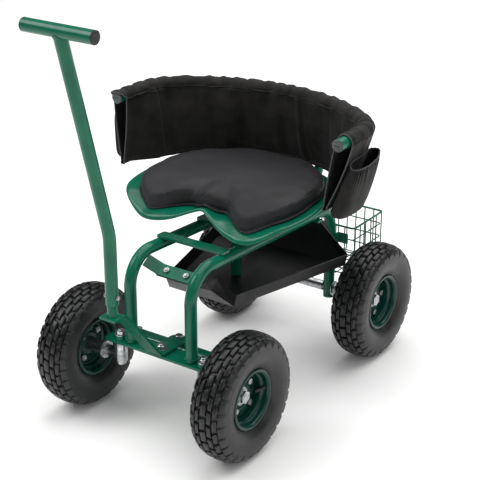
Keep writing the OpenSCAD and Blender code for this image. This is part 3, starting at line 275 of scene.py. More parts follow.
@dataclass(frozen=True)
class MouldedPlastic(Finish):
    """Injection-moulded polyethylene: satin, with a fine spark-eroded grain."""

    colour: str
    shade: str

    def dress(self, tree: Tree, shader: Node, place: Socket) -> None:
        """Sets the plastic's colour, gloss and grain."""
        feed(tree, shader, {
            "Base Color": tone(tree, noise(tree, place, 14), self.colour, self.shade),
            "Roughness": span(tree, noise(tree, place, 5), 0.36, 0.5),
            "IOR": 1.49,
        })
        relief(tree, shader, noise(tree, place, 1.2, 2), 0.08, 0.4)


@dataclass(frozen=True)
class CoatedCloth(Finish):
    """Polyurethane-coated cloth over foam: matte charcoal with a fine pebbled grain and a
    slight bloom at grazing angles."""

    colour: str = "#262629"
    shade: str = "#1d1d1f"
    pebble_mm: float = 1.7

    def dress(self, tree: Tree, shader: Node, place: Socket) -> None:
        """Sets colour, bloom and grain. The grain is drawn coarser than its real 0.6 mm."""
        cloud = noise(tree, place, 60, 4)
        feed(tree, shader, {
            "Base Color": tone(tree, cloud, self.shade, self.colour, 0.25, 0.75),
            "Roughness": span(tree, cloud, 0.68, 0.56),
            "Specular IOR Level": 0.3,
            "Sheen Weight": 0.05,
            "Sheen Roughness": 0.4,
        })
        cells = add_node(tree, "ShaderNodeTexVoronoi", {"Vector": place, "Scale": per_metre(self.pebble_mm)})
        pebbles = relief(tree, shader, cells.outputs["Distance"], 0.12, 0.3)
        relief(tree, shader, noise(tree, place, 16, 2), 0.5, 0.25, pebbles)


@dataclass(frozen=True)
class OxfordCloth(Finish):
    """Plain-woven polyester with a dull coating: thick yarns in a basket of two directions. Its colour
    holds a painted grid of light on the yarns and painted shade between them, and random lighter patches."""

    colour: str = "#242220"
    shade: str = "#0c0c0b"
    yarn_mm: float = 2.2

    def yarns(self, tree: Tree, cut: Socket, way: str) -> Socket:
        """Waves of the yarns that run one way."""
        scale = per_metre(self.yarn_mm) / WAVE_BANDS
        inputs = {"Vector": cut, "Scale": scale, "Distortion": 0.6, "Detail": 1.0}
        return add_node(tree, "ShaderNodeTexWave", inputs, bands_direction=way).outputs["Fac"]

    def dress(self, tree: Tree, shader: Node, place: Socket) -> None:
        """Sets the weave on the cloth's own UV map in metres. Yarns are drawn at 2.2 mm, four
        times their real size, so that they show."""
        cut = add_node(tree, "ShaderNodeUVMap", uv_map="cloth").outputs["UV"]
        weave = calc(tree, "MULTIPLY", self.yarns(tree, cut, "X"), self.yarns(tree, cut, "Y"))
        cloud = noise(tree, place, 35, 4)
        # Painted light: the weave's grid lightens the colour on the yarns and darkens it as painted shade
        # between them; the cloud adds random lighter patches.
        yarn_light_and_patches = calc(tree, "MULTIPLY_ADD", cloud, weave, cloud)
        feed(tree, shader, {
            "Base Color": tone(tree, yarn_light_and_patches, self.shade, self.colour, 0.35, 0.95),
            "Roughness": span(tree, cloud, 0.78, 0.66),
            "Specular IOR Level": 0.25,
            "Sheen Weight": 0.06,
            "Sheen Roughness": 0.45,
        })
        threads = relief(tree, shader, weave, 0.25, 0.4)
        relief(tree, shader, noise(tree, place, 12, 3), 0.7, 0.22, threads)


@dataclass(frozen=True)
class SewingThread(Finish):
    """Twisted polyester thread: a soft sheen and a light twist."""

    colour: str
    shade: str = "#2b2c2f"

    def dress(self, tree: Tree, shader: Node, place: Socket) -> None:
        """Sets the thread's colour and twist."""
        colour = tone(tree, noise(tree, place, 2.5), self.shade, self.colour)
        feed(tree, shader, {"Base Color": colour, "Roughness": 0.6})
        relief(tree, shader, noise(tree, place, 0.7), 0.1, 0.5)


GREEN = PowderCoat("green_powder_coat", Slot.GREEN, "#04674c", "#035642", 0.24, 0.14)
RIM_GREEN = PowderCoat("rim_green_paint", Slot.RIM, "#063a30", "#042c25", 0.28, 0.16)
TRAY_BLACK = PowderCoat("black_powder_coat", Slot.BLACK, "#18181a", "#121214", 0.42, 0.08)
ZINC = ZincPlate("bright_zinc_plate", Slot.ZINC)
PLUG_BLACK = MouldedPlastic("moulded_black_plastic", Slot.PLASTIC, "#161618", "#222325")
PLUG_GREY = MouldedPlastic("moulded_grey_plastic", Slot.PLASTIC, "#505355", "#3d4042")
CUSHION_CLOTH = CoatedCloth("coated_cushion_cloth", Slot.CUSHION)
BAG_CLOTH = OxfordCloth("oxford_bag_cloth", Slot.CLOTH)
THREAD = SewingThread("sewing_thread", Slot.CLOTH, "#3f4043")
BINDING = SewingThread("binding_tape", Slot.CLOTH, "#4b4b4d")


# Meshes


def joined(*shapes: Shape) -> Shape:
    """Several shapes as one."""
    faces, count = [], 0
    for points, own in shapes:
        faces += [tuple(i + count for i in face) for face in own]
        count += len(points)
    return np.concatenate([points for points, _ in shapes]), faces


def grid_faces(rows: int, columns: int, wrap_rows: bool = False, wrap_columns: bool = True) -> Faces:
    """Quads of a grid of points stored row by row.

    Args:
        rows: Rows of points.
        columns: Points in a row.
        wrap_rows: Whether the last row joins the first.
        wrap_columns: Whether a row's last point joins its first.

    Returns:
        The faces as tuples of point numbers.
    """
    faces = []
    for i in range(rows if wrap_rows else rows - 1):
        a, b = i * columns, (i + 1) % rows * columns
        for j in range(columns if wrap_columns else columns - 1):
            k = (j + 1) % columns
            faces.append((a + j, a + k, b + k, b + j))
    return faces


def tube_faces(rows: int, turns: int) -> Faces:
    """Faces of a row of rings, with a cap on the first and on the last."""
    last = (rows - 1) * turns
    return grid_faces(rows, turns) + [tuple(range(turns)), tuple(reversed(range(last, last + turns)))]


def lathe(profile: Pairs, turns: int, closed: bool = True) -> Shape:
    """Turns a profile of (along X, radius) pairs about the X axis.

    Args:
        profile: Points of the profile; a closed one joins its last point to its first.
        turns: Faces round the axis.
        closed: Whether the profile is a closed loop.

    Returns:
        The turned shape; an open profile's ends are closed with one face each.
    """
    angles = np.linspace(0, TURN, turns, endpoint=False)
    rows = [np.stack([np.full(turns, a), r * np.cos(angles), r * np.sin(angles)], 1) for a, r in profile]
    faces = grid_faces(len(profile), turns, True) if closed else tube_faces(len(profile), turns)
    return np.concatenate(rows), faces


def across(line: Points) -> Points:
    """Unit normals of a flat line, to the left of its heading."""
    ahead = np.gradient(line, axis=0)
    ahead /= np.linalg.norm(ahead, axis=1)[:, None]
    return np.stack([-ahead[:, 1], ahead[:, 0]], 1)


def thickened(line: Points, thickness: float) -> Points:
    """Closed outline of a bent sheet of the given thickness with its middle on the line."""
    normal = across(line) * thickness / 2
    return np.concatenate([line + normal, (line - normal)[::-1]])


def mirrored(half: Points) -> Points:
    """A line that ends on the middle of its first axis, with its mirror image after it."""
    return np.concatenate([half, half[-2::-1] * (-1, 1)])


def read_off(places: np.ndarray, run: np.ndarray, line: Points) -> list[np.ndarray]:
    """Each coordinate of a line at places along its run."""
    return [np.interp(places, run, coordinate) for coordinate in line.T]


def upright(shape: Shape) -> Shape:
    """A shape turned so that its X axis points up."""
    points, faces = shape
    return points[:, [1, 2, 0]], faces


def smooth_line(points: Sequence[Sequence[float]], per_span: int) -> np.ndarray:
    """Points of a smooth curve through the given ones, with per_span steps between two of them."""
    p = np.asarray(points, float)
    found = []
    for i in range(len(p) - 1):
        a, b, c, d = p[max(i - 1, 0)], p[i], p[i + 1], p[min(i + 2, len(p) - 1)]
        bend, twist = 2 * a - 5 * b + 4 * c - d, 3 * b - a - 3 * c + d
        for t in np.arange(per_span) / per_span:
            found.append(0.5 * (2 * b + (c - a) * t + bend * t**2 + twist * t**3))
    return np.array([*found, p[-1]])


def new_mesh(
    name: str, shape: Shape, sharp_deg: float = 35, outward: bool = True, flat: np.ndarray | None = None
) -> Mesh:
    """Makes a smooth-shaded mesh with creases at its sharp edges.

    Args:
        name: Name of the mesh.
        shape: Its points and faces.
        sharp_deg: Angle past which an edge stays sharp.
        outward: Whether faces are turned outward anew.
        flat: Place of each point on the flat cloth in metres, for the UV map "cloth".

    Returns:
        The mesh.
    """
    points, faces = shape
    mesh = bpy.data.meshes.new(name)
    mesh.from_pydata([tuple(p) for p in points], [], faces)
    if flat is not None:
        corners = np.zeros(len(mesh.loops), np.int64)
        mesh.loops.foreach_get("vertex_index", corners)
        places = np.asarray(flat, np.float32)[corners].ravel()
        mesh.uv_layers.new(name="cloth").data.foreach_set("uv", places)
    if outward:
        bm = bmesh.new()
        bm.from_mesh(mesh)
        bmesh.ops.remove_doubles(bm, verts=bm.verts, dist=1e-6)
        bmesh.ops.recalc_face_normals(bm, faces=bm.faces)
        bm.to_mesh(mesh)
        bm.free()
    mesh.shade_smooth()
    mesh.set_sharp_from_angle(angle=math.radians(sharp_deg))
    mesh.update()
    return mesh


def mesh_shape(mesh: Mesh) -> Shape:
    """A mesh's points and faces."""
    points = np.zeros(len(mesh.vertices) * 3)
    mesh.vertices.foreach_get("co", points)
    return points.reshape(-1, 3), [tuple(p.vertices) for p in mesh.polygons]


def taken_shape(mesh: Mesh) -> Shape:
    """A mesh's points and faces; the mesh is removed."""
    shape = mesh_shape(mesh)
    bpy.data.meshes.remove(mesh)
    return shape


def linked(name: str, mesh: Mesh) -> Piece:
    """Links a mesh to the scene as an object."""
    piece = bpy.data.objects.new(name, mesh)
    bpy.context.scene.collection.objects.link(piece)
    return piece


def add_piece(name: str, mesh: Mesh, finish: Finish, body: str, replaced: Sequence[str] = ()) -> Piece:
    """Adds a finished piece.

    Args:
        name: Name of the piece.
        mesh: Its mesh.
        finish: Its finish, which also says its material slot.
        body: Body that it rides on.
        replaced: CAD nodes that it stands for.

    Returns:
        The piece.
    """
    piece = linked(name, mesh)
    mesh.materials.clear()
    mesh.materials.append(finish.material())
    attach(piece, body)
    if replaced:
        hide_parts(*replaced)
    LOG.info("%s rides on %s, %d faces", name, body, len(mesh.polygons))
    return piece


def share_at(angle: np.ndarray, shares: Pairs) -> np.ndarray:
    """Line through a table of (degrees, share), mirrored at its ends and softened by an average
    over blur_deg to both sides.

    Args:
        angle: Angles in degrees from the front, either way round.
        shares: Table whose first angle is 0 and whose last is 180.

    Returns:
        The share at each angle.
    """
    blur_deg = 8
    folded = np.minimum(angle, 360 - angle)
    total = np.zeros(np.shape(angle))
    steps = np.linspace(-0.9, 0.9, 9)
    for step in steps:
        near = np.abs(folded + blur_deg * step)
        near = np.minimum(near, 360 - near)
        total += (1 - abs(step)) * np.interp(near, *zip(*shares))
    return total / (1 - np.abs(steps)).sum()


def ripple(place: np.ndarray, waves: Pairs, seed: int) -> np.ndarray:
    """Sum of smooth waves over a flat place.

    Args:
        place: Two coordinates in metres for each point.
        waves: Wavelength and height in millimetres of each group of waves.
        seed: Seed of the waves' headings and phases.

    Returns:
        The height at each point, in metres.
    """
    drawn = np.random.default_rng(seed)
    height = np.zeros(len(place))
    for length, size in waves:
        for _ in range(3):
            heading, phase = drawn.uniform(0, math.pi), drawn.uniform(0, TURN)
            along = place @ np.array([math.cos(heading), math.sin(heading)])
            height += size * MM / 3 * np.sin(TURN * along / (length * MM) + phase)
    return height


def bump_at(far: np.ndarray, width: float) -> np.ndarray:
    """Round bump of height 1 at zero distance."""
    return np.exp(-((far / width) ** 2))


def middle_of(node: str) -> Vector:
    """Middle of a CAD node's box."""
    low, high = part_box(node)
    return (low + high) / 2


# Geometry Nodes


@dataclass(frozen=True)
class Growth:
    """A Geometry Nodes tree: its name, its inputs with their socket types, and what fills it."""

    name: str
    inputs: Sequence[tuple[str, str]]
    fill: Callable[[Tree, dict[str, Socket]], Socket]

    def tree(self) -> Tree:
        """Returns the tree, made at the first call; it ends in Realize Instances and Set Material."""
        if self.name in bpy.data.node_groups:
            return bpy.data.node_groups[self.name]
        tree = bpy.data.node_groups.new(self.name, "GeometryNodeTree")
        for label, kind in (("Geometry", "Geometry"), *self.inputs, ("Finish", "Material")):
            tree.interface.new_socket(label, in_out="INPUT", socket_type="NodeSocket" + kind)
        tree.interface.new_socket("Geometry", in_out="OUTPUT", socket_type="NodeSocketGeometry")
        given = add_node(tree, "NodeGroupInput").outputs
        real = add_node(tree, "GeometryNodeRealizeInstances", {"Geometry": self.fill(tree, given)})
        inputs = {"Geometry": real.outputs["Geometry"], "Material": given["Finish"]}
        dressed = add_node(tree, "GeometryNodeSetMaterial", inputs)
        add_node(tree, "NodeGroupOutput", {"Geometry": dressed.outputs["Geometry"]})
        return tree

    def grown(self, mesh: Mesh, finish: Finish, **values: float) -> Mesh:
        """Runs the tree on a mesh and returns its result as a plain mesh.

        Args:
            mesh: What the tree starts from; it is removed.
            finish: Finish of the result.
            **values: Value of each named input, with its name in lower case.

        Returns:
            The new mesh.
        """
        carrier = linked("carrier", mesh)
        modifier = carrier.modifiers.new("grow", "NODES")
        modifier.node_group = self.tree()
        sockets = modifier.node_group.interface.items_tree
        named = {s.name.lower(): s.identifier for s in sockets if s.in_out == "INPUT"}
        for label, value in {**values, "finish": finish.material()}.items():
            modifier[named[label]] = value
        bpy.context.view_layer.update()
        made = bpy.data.meshes.new_from_object(carrier.evaluated_get(bpy.context.evaluated_depsgraph_get()))
        carrier.modifiers.clear()
        bpy.data.objects.remove(carrier)
        bpy.data.meshes.remove(mesh)
        return made


def fill_copies(tree: Tree, given: dict[str, Socket]) -> Socket:
    """Copies of the geometry, turned about the X axis."""
    points = add_node(tree, "GeometryNodeMeshLine", {"Count": given["Count"], "Offset": (0.0, 0.0, 0.0)})
    index = add_node(tree, "GeometryNodeInputIndex").outputs["Index"]
    step = calc(tree, "DIVIDE", TURN, given["Count"])
    angle = calc(tree, "MULTIPLY", calc(tree, "ADD", index, given["Phase"]), step)
    turned = add_node(tree, "ShaderNodeCombineXYZ", {"X": angle}).outputs["Vector"]
    inputs = {"Points": points.outputs["Mesh"], "Instance": given["Geometry"], "Rotation": turned}
    return add_node(tree, "GeometryNodeInstanceOnPoints", inputs).outputs["Instances"]


def fill_beads(tree: Tree, given: dict[str, Socket]) -> Socket:
    """Round beads along the lines of the geometry, for welds and stitches."""
    curve = add_node(tree, "GeometryNodeMeshToCurve", {"Mesh": given["Geometry"]}).outputs["Curve"]
    inputs = {"Curve": curve, "Length": given["Pitch"]}
    spaced = add_node(tree, "GeometryNodeCurveToPoints", inputs, mode="LENGTH").outputs
    ball = add_node(tree, "GeometryNodeMeshIcoSphere", {"Radius": 1.0, "Subdivisions": given["Rounds"]})
    smooth = add_node(tree, "GeometryNodeSetShadeSmooth", {"Geometry": ball.outputs["Mesh"]})
    ends = {2: calc(tree, "SUBTRACT", 1.0, given["Jitter"]), 3: calc(tree, "ADD", 1.0, given["Jitter"])}
    inputs = {**ends, "Seed": given["Seed"]}
    share = add_node(tree, "FunctionNodeRandomValue", inputs, data_type="FLOAT").outputs[1]
    across = calc(tree, "MULTIPLY", given["Thickness"], share)
    size = add_node(tree, "ShaderNodeCombineXYZ", {"X": across, "Y": across, "Z": given["Reach"]})
    inputs = {
        "Points": spaced["Points"],
        "Instance": smooth.outputs["Geometry"],
        "Rotation": spaced["Rotation"],
        "Scale": size.outputs["Vector"],
    }
    return add_node(tree, "GeometryNodeInstanceOnPoints", inputs).outputs["Instances"]


def fill_wires(tree: Tree, given: dict[str, Socket]) -> Socket:
    """Round bent wires of the lines of the geometry."""
    curve = add_node(tree, "GeometryNodeMeshToCurve", {"Mesh": given["Geometry"]}).outputs["Curve"]
    inputs = {"Curve": curve, "Radius": given["Bend"], "Limit Radius": True, "Count": 5}
    bent = add_node(tree, "GeometryNodeFilletCurve", inputs, mode="POLY").outputs["Curve"]
    inputs = {"Radius": given["Radius"], "Resolution": given["Facets"]}
    ring = add_node(tree, "GeometryNodeCurvePrimitiveCircle", inputs).outputs["Curve"]
    inputs = {"Curve": bent, "Profile Curve": ring, "Fill Caps": True}
    wire = add_node(tree, "GeometryNodeCurveToMesh", inputs).outputs["Mesh"]
    return add_node(tree, "GeometryNodeSetShadeSmooth", {"Geometry": wire}).outputs["Geometry"]


COPIES = Growth("copies_about_x", (("Count", "Int"), ("Phase", "Float")), fill_copies)
BEADS = Growth(
    "beads_along",
    (("Pitch", "Float"), ("Thickness", "Float"), ("Reach", "Float"), ("Jitter", "Float"), ("Rounds", "Int"),
     ("Seed", "Int")),
    fill_beads,
)
WIRES = Growth("bent_wires", (("Radius", "Float"), ("Bend", "Float"), ("Facets", "Int")), fill_wires)


def line_mesh(lines: Sequence[np.ndarray], closed: bool = False) -> Mesh:
    """Mesh of edges that follow lines of points."""
    points, edges = [], []
    for line in lines:
        first = len(points)
        points += [tuple(p) for p in line]
        edges += [(first + i, first + i + 1) for i in range(len(line) - 1)]
        if closed:
            edges.append((first + len(line) - 1, first))
    mesh = bpy.data.meshes.new("lines")
    mesh.from_pydata(points, edges, [])
    return mesh


def ring_line(centre: Sequence[float], radius: float, steps: int = 48) -> np.ndarray:
    """Points of a level circle, from its -X side."""
    w = np.linspace(0, TURN, steps, endpoint=False)
    return np.array(centre) - radius * np.stack([np.cos(w), np.sin(w), 0 * w], 1)


# Nodes that keep their CAD shape


@dataclass
class CadDress:
    """Finishes of the CAD nodes whose shape is right as it is."""

    round_width: float = 0.5 * MM
    round_past_deg: float = 40
    merge_within: float = 0.01 * MM

    as_made = {
        GREEN: (
            "frame_tube_left", "frame_tube_right", "handle_shaft", "handle_grip", "back_uprights",
            "back_rail",
        ),
        PLUG_BLACK: ("grip_plugs",),
    }
    rounded = {
        GREEN: (
            "front_beam", "front_crossbar", "front_strap", "rear_strap", "seat_cross_plate", "seat_column",
            "basket_brackets", "steering_lever", "swivel_plate", "tie_rod",
        ),
        ZINC: (
            "rear_axle", "rear_axle_tube", "knuckle_left", "knuckle_right", "seat_post", "hub_front_left",
            "hub_front_right", "hub_rear_left", "hub_rear_right",
        ),
        TRAY_BLACK: ("tool_tray",),
        PLUG_GREY: ("back_rail_plugs",),
    }

    def dress(self, name: str, finish: Finish) -> Piece:
        """Gives a node its finish's material."""
        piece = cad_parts[name]
        piece.data.materials.clear()
        piece.data.materials.append(finish.material())
        LOG.info("%s keeps its CAD shape in %s", name, finish.name)
        return piece

    def round_edges(self, piece: Piece) -> None:
        """Gives a node's sharp edges a small round."""
        weld = piece.modifiers.new("merge", "WELD")
        weld.merge_threshold = self.merge_within
        bevel = piece.modifiers.new("edge_round", "BEVEL")
        bevel.width = self.round_width
        bevel.segments = 2
        bevel.limit_method = "ANGLE"
        bevel.angle_limit = math.radians(self.round_past_deg)
        bevel.harden_normals = True

    def build(self) -> None:
        """Dresses every node that keeps its shape."""
        for finish, names in self.as_made.items():
            for name in names:
                self.dress(name, finish)
        for finish, names in self.rounded.items():
            for name in names:
                self.round_edges(self.dress(name, finish))


# Wheels


@dataclass(frozen=True)
class TreadRow:
    """One row of tread blocks, in millimetres.

    It reaches from low to high off the wheel's middle and is shifted by phase pitches. Its
    blocks lean by slant toward their edges, and fill a share of the pitch.
    """

    low: float
    high: float
    phase: float
    slant: float
    fill: float
    height: float


@dataclass
class Wheel:
    """Tyre, rim and bolts of one wheel, drawn about +X outboard and then set in place."""

    end: str
    side: Side
    rest_turn: float
    blocks: int = 28
    casing_r: float = 124 * MM
    casing_half: float = 40 * MM
    wall_t: float = 6.4 * MM
    bulge_r: float = 94 * MM
    crown_power: float = 0.25
    rim_t: float = 2.2 * MM
    disc_t: float = 3 * MM
    valve_root: float = 53 * MM
    valve_out: float = 17 * MM
    valve_lean_deg: float = -14
    bolt_d: float = 8 * MM
    bolt_grip: float = 5 * MM
    bolt_out: float = 1.3 * MM
    bolt_circle_r: float = 33 * MM

    rows = (
        TreadRow(-6.4, 6.4, 0.0, 1.6, 0.8, 6.0),
        TreadRow(9.2, 17.6, 0.5, -1.6, 0.8, 6.0),
        TreadRow(20.2, 28.2, 0.0, 1.6, 0.78, 5.4),
        TreadRow(30.8, 39.4, 0.5, 0.0, 0.76, 4.2),
    )
    block_steps = (-1.1, -0.99, -0.9, -0.72, 0.0, 0.72, 0.9, 0.99, 1.1)
    block_rises = (-0.2, 0.66, 0.88, 0.98, 1.0, 0.98, 0.88, 0.66, -0.2)

    # Lines in millimetres: distance outboard of the wheel's middle, then radius.
    side_wall = (
        (24.6, 54.5), (25.2, 63.2), (27.4, 64.6), (29.0, 67.2), (33.2, 72.5), (37.4, 80.5), (39.6, 88.5),
    )
    barrel = (
        (-26.2, 61.6), (-27.6, 61.2), (-28.4, 59.6), (-27.9, 57.2), (-26.2, 55.4), (-23.6, 53.8),
        (-17.6, 53.2), (-14.6, 51.4), (-12.6, 48.6), (-10.0, 47.6), (0.0, 47.4),
    )
    disc_line = (
        (-3.4, 15.6), (-3.4, 20.0), (-3.0, 23.5), (-1.0, 26.0), (-0.4, 28.0), (-0.4, 38.0), (-1.2, 40.2),
        (-3.6, 42.6), (-4.2, 44.2), (-2.6, 46.0), (1.5, 46.5), (4.0, 46.5),
    )
    # The valve's line: distance from the axle, then the stem's own radius.
    valve_line = (
        (53.4, 4.6), (51.0, 4.4), (49.6, 3.9), (44.0, 3.2), (38.0, 2.9), (37.8, 3.6), (30.0, 3.6),
        (28.4, 2.8), (28.2, 0.6),
    )
    # Rings of the mould on the sidewall: radius, width and height in millimetres.
    mould_rings = ((68.5, 1.3, 0.7), (76.0, 0.9, 0.45), (100.0, 1.6, 0.6), (103.5, 0.9, 0.5))

    def __post_init__(self) -> None:
        """Reads the wheel's place from its tyre."""
        self.tag = f"{self.end}_{self.side.name.lower()}"
        self.centre = middle_of(f"tyre_{self.tag}")
        self.body = f"wheel_{self.tag}"

    def place(self, shape: Shape) -> Shape:
        """Moves a shape from the wheel's own frame to its place."""
        flip = Matrix.Diagonal((self.side.value, 1, 1))
        matrix = np.array(flip @ Matrix.Rotation(self.rest_turn, 3, "X"))
        points, faces = shape
        return points @ matrix.T + np.array(self.centre), faces

    def crown(self, x: np.ndarray) -> np.ndarray:
        """Radius of the casing's tread side at a distance from its middle."""
        share = np.clip(np.abs(x) / self.casing_half, 0, 1)
        return self.bulge_r + (self.casing_r - self.bulge_r) * (1 - share**2) ** self.crown_power

    def half_casing(self, shrink: float = 0) -> Points:
        """Outline of half the casing, from its bead to the middle of its crown, pulled in by shrink."""
        x = self.casing_half * np.cos(np.linspace(0.02, 1, 18) * math.pi / 2)
        wall = smooth_line(np.array(self.side_wall) * MM, 3)
        outline = np.concatenate([wall, np.stack([x, self.crown(x)], 1)])
        if shrink:
            outline = outline + across(outline) * shrink
            outline[:, 0] = np.maximum(outline[:, 0], 0)
        return outline

    def casing(self) -> Shape:
        """The casing as a closed shell, with mould rings on its sidewall."""
        skin, hollow = self.half_casing(), self.half_casing(self.wall_t)
        for radius, width, height in self.mould_rings:
            skin[:, 0] += height * MM * bump_at(skin[:, 1] - radius * MM, width * MM)
        return lathe(np.concatenate([mirrored(skin), mirrored(hollow)[::-1]]), 144)

    def block(self, row: TreadRow, side: int) -> Shape:
        """One tread block at the top of the wheel, on one side of its middle."""
        u, v = (share.ravel() for share in np.meshgrid(self.block_steps, self.block_steps, indexing="ij"))
        rise = np.minimum.outer(self.block_rises, self.block_rises).ravel()
        x = ((row.low + row.high) / 2 + (row.high - row.low) / 2 * v) * MM
        r = self.crown(x) + row.height * MM * rise
        w = u * TURN / self.blocks * row.fill / 2 + row.slant * MM * v / self.casing_r
        faces = grid_faces(len(self.block_steps), len(self.block_steps), wrap_columns=False)
        return np.stack([x * side, r * np.sin(w), r * np.cos(w)], 1), faces

    def tread(self, rubber: Finish) -> list[Shape]:
        """Every row of blocks, set round the wheel: the middle row once, the others on both sides."""
        shapes = []
        for row in self.rows:
            for side in (1,) if row.low < 0 else (1, -1):
                block = new_mesh("block", self.block(row, side), 30)
                shapes.append(taken_shape(COPIES.grown(block, rubber, count=self.blocks, phase=row.phase)))
        return shapes

    def tyre(self) -> None:
        """Builds the tyre."""
        rubber = TyreRubber(f"tyre_rubber_{self.tag}", Slot.RUBBER, tuple(self.centre), self.casing_half)
        mesh = new_mesh("tyre", self.place(joined(self.casing(), *self.tread(rubber))), 32)
        add_piece(f"treaded_tyre_{self.tag}", mesh, rubber, self.body, [f"tyre_{self.tag}"])

    def rim(self) -> None:
        """Builds the painted rim: a rolled barrel with a drop centre and a pressed disc in it."""
        lines = ((mirrored(np.array(self.barrel)), self.rim_t), (np.array(self.disc_line), self.disc_t))
        sheets = [lathe(thickened(smooth_line(line * MM, 3), thickness), 96) for line, thickness in lines]
        mesh = new_mesh("rim", self.place(joined(*sheets)), 40)
        add_piece(f"pressed_rim_{self.tag}", mesh, RIM_GREEN, self.body, [f"rim_{self.tag}"])

    def valve(self) -> None:
        """Builds the rubber valve stem with its cap, which leans from the barrel toward the hub."""
        points, faces = lathe(np.array(self.valve_line) * MM, 20, closed=False)
        root = np.array([self.valve_root, 0, 0])
        lean = np.array(Matrix.Rotation(math.radians(self.valve_lean_deg), 3, "Y"))
        x, y, z = ((points - root) @ lean.T + root).T
        stem = self.place((np.stack([z + self.valve_out, x, y], 1), faces))
        add_piece(f"valve_stem_{self.tag}", new_mesh("valve", stem), PLUG_BLACK, self.body)

    def bolts(self) -> None:
        """Builds the ring of wheel bolts, heads outboard."""
        outward = Matrix.Rotation(-math.pi / 2, 3, "Y")
        bolt = HexBolt(self.bolt_d, self.bolt_grip, washers=False)
        one = bolt.placed((self.bolt_out, 0, self.bolt_circle_r), outward)
        ring = COPIES.grown(new_mesh("bolt", one), ZINC, count=4, phase=0.5)
        mesh = new_mesh("bolts", self.place(taken_shape(ring)))
        add_piece(f"wheel_bolts_{self.tag}", mesh, ZINC, self.body, [f"bolts_{self.tag}"])

    def build(self) -> None:
        """Builds the whole wheel."""
        self.tyre()
        self.rim()
        self.valve()
        self.bolts()


@dataclass
class HexBolt:
    """Hexagon bolt along +Z: its head under the origin, its washer and nut over the grip."""

    d: float
    grip: float
    washers: bool = True
    tip: float = 2.5 * MM
    pitch: float = 1.25 * MM
    thread_depth: float = 0.6 * MM
    head_share: float = 1.7
    head_h_share: float = 0.62
    washer_t: float = 1.8 * MM
    washer_rim: float = 4 * MM
    washer_edge: float = 0.3 * MM
    turns: int = 48

    def hexagon(self, low: float, high: float, high_cut: bool) -> Shape:
        """Hexagonal prism whose low end, and high end where asked, are chamfered by a cone."""
        angles = np.linspace(0, TURN, self.turns, endpoint=False)
        flat = self.d * self.head_share / 2 * math.cos(math.pi / 6)
        reach = flat / np.cos((angles + math.pi / 6) % (math.pi / 3) - math.pi / 6)
        fall = (reach - flat) * 0.75 + 0.25 * MM
        cone = np.full(self.turns, flat * 0.96)
        rings = [(cone, low + 0 * fall), (reach, low + fall)]
        rings += [(reach, high - fall * high_cut), (cone if high_cut else reach, high + 0 * fall)]
        rows = [np.stack([r * np.cos(angles), r * np.sin(angles), z], 1) for r, z in rings]
        return np.concatenate(rows), tube_faces(len(rows), self.turns)

    def washer(self) -> Shape:
        """The washer under the nut."""
        rim = self.d * self.head_share / 2 + self.washer_rim / 2
        inset, edge = rim - self.washer_edge, self.washer_edge
        low, high = self.grip, self.grip + self.washer_t
        profile = [(low, inset), (low + edge, rim), (high - edge, rim), (high, inset)]
        return upright(lathe(profile, 32, closed=False))

    def shank(self, start: float, top: float) -> Shape:
        """The shank, with a thread from its start in the nut to its top."""
        r = self.d / 2
        profile = [(-0.5 * MM, r)]
        z = start
        while z < top - self.pitch:
            profile += [(z, r - self.thread_depth), (z + self.pitch / 2, r)]
            z += self.pitch
        profile += [(top - 0.6 * MM, r - 0.2 * MM), (top, r - 1.0 * MM)]
        return upright(lathe(profile, 32, closed=False))

    def shape(self) -> Shape:
        """The bolt with its head, washer, nut, shank and thread."""
        thick = self.d * self.head_h_share
        foot = self.grip + (self.washer_t if self.washers else 0.0)
        parts = [self.hexagon(-thick, 0, False), self.hexagon(foot, foot + thick, True)]
        if self.washers:
            parts.append(self.washer())
        return joined(*parts, self.shank(foot + thick - 0.5 * MM, foot + thick + self.tip))

    def placed(self, place: Sequence[float], turn: Matrix) -> Shape:
        """The bolt turned, with the place under its gripped stack."""
        points, faces = self.shape()
        return points @ np.array(turn).T + np.array(place), faces


# Basket, fasteners and welds


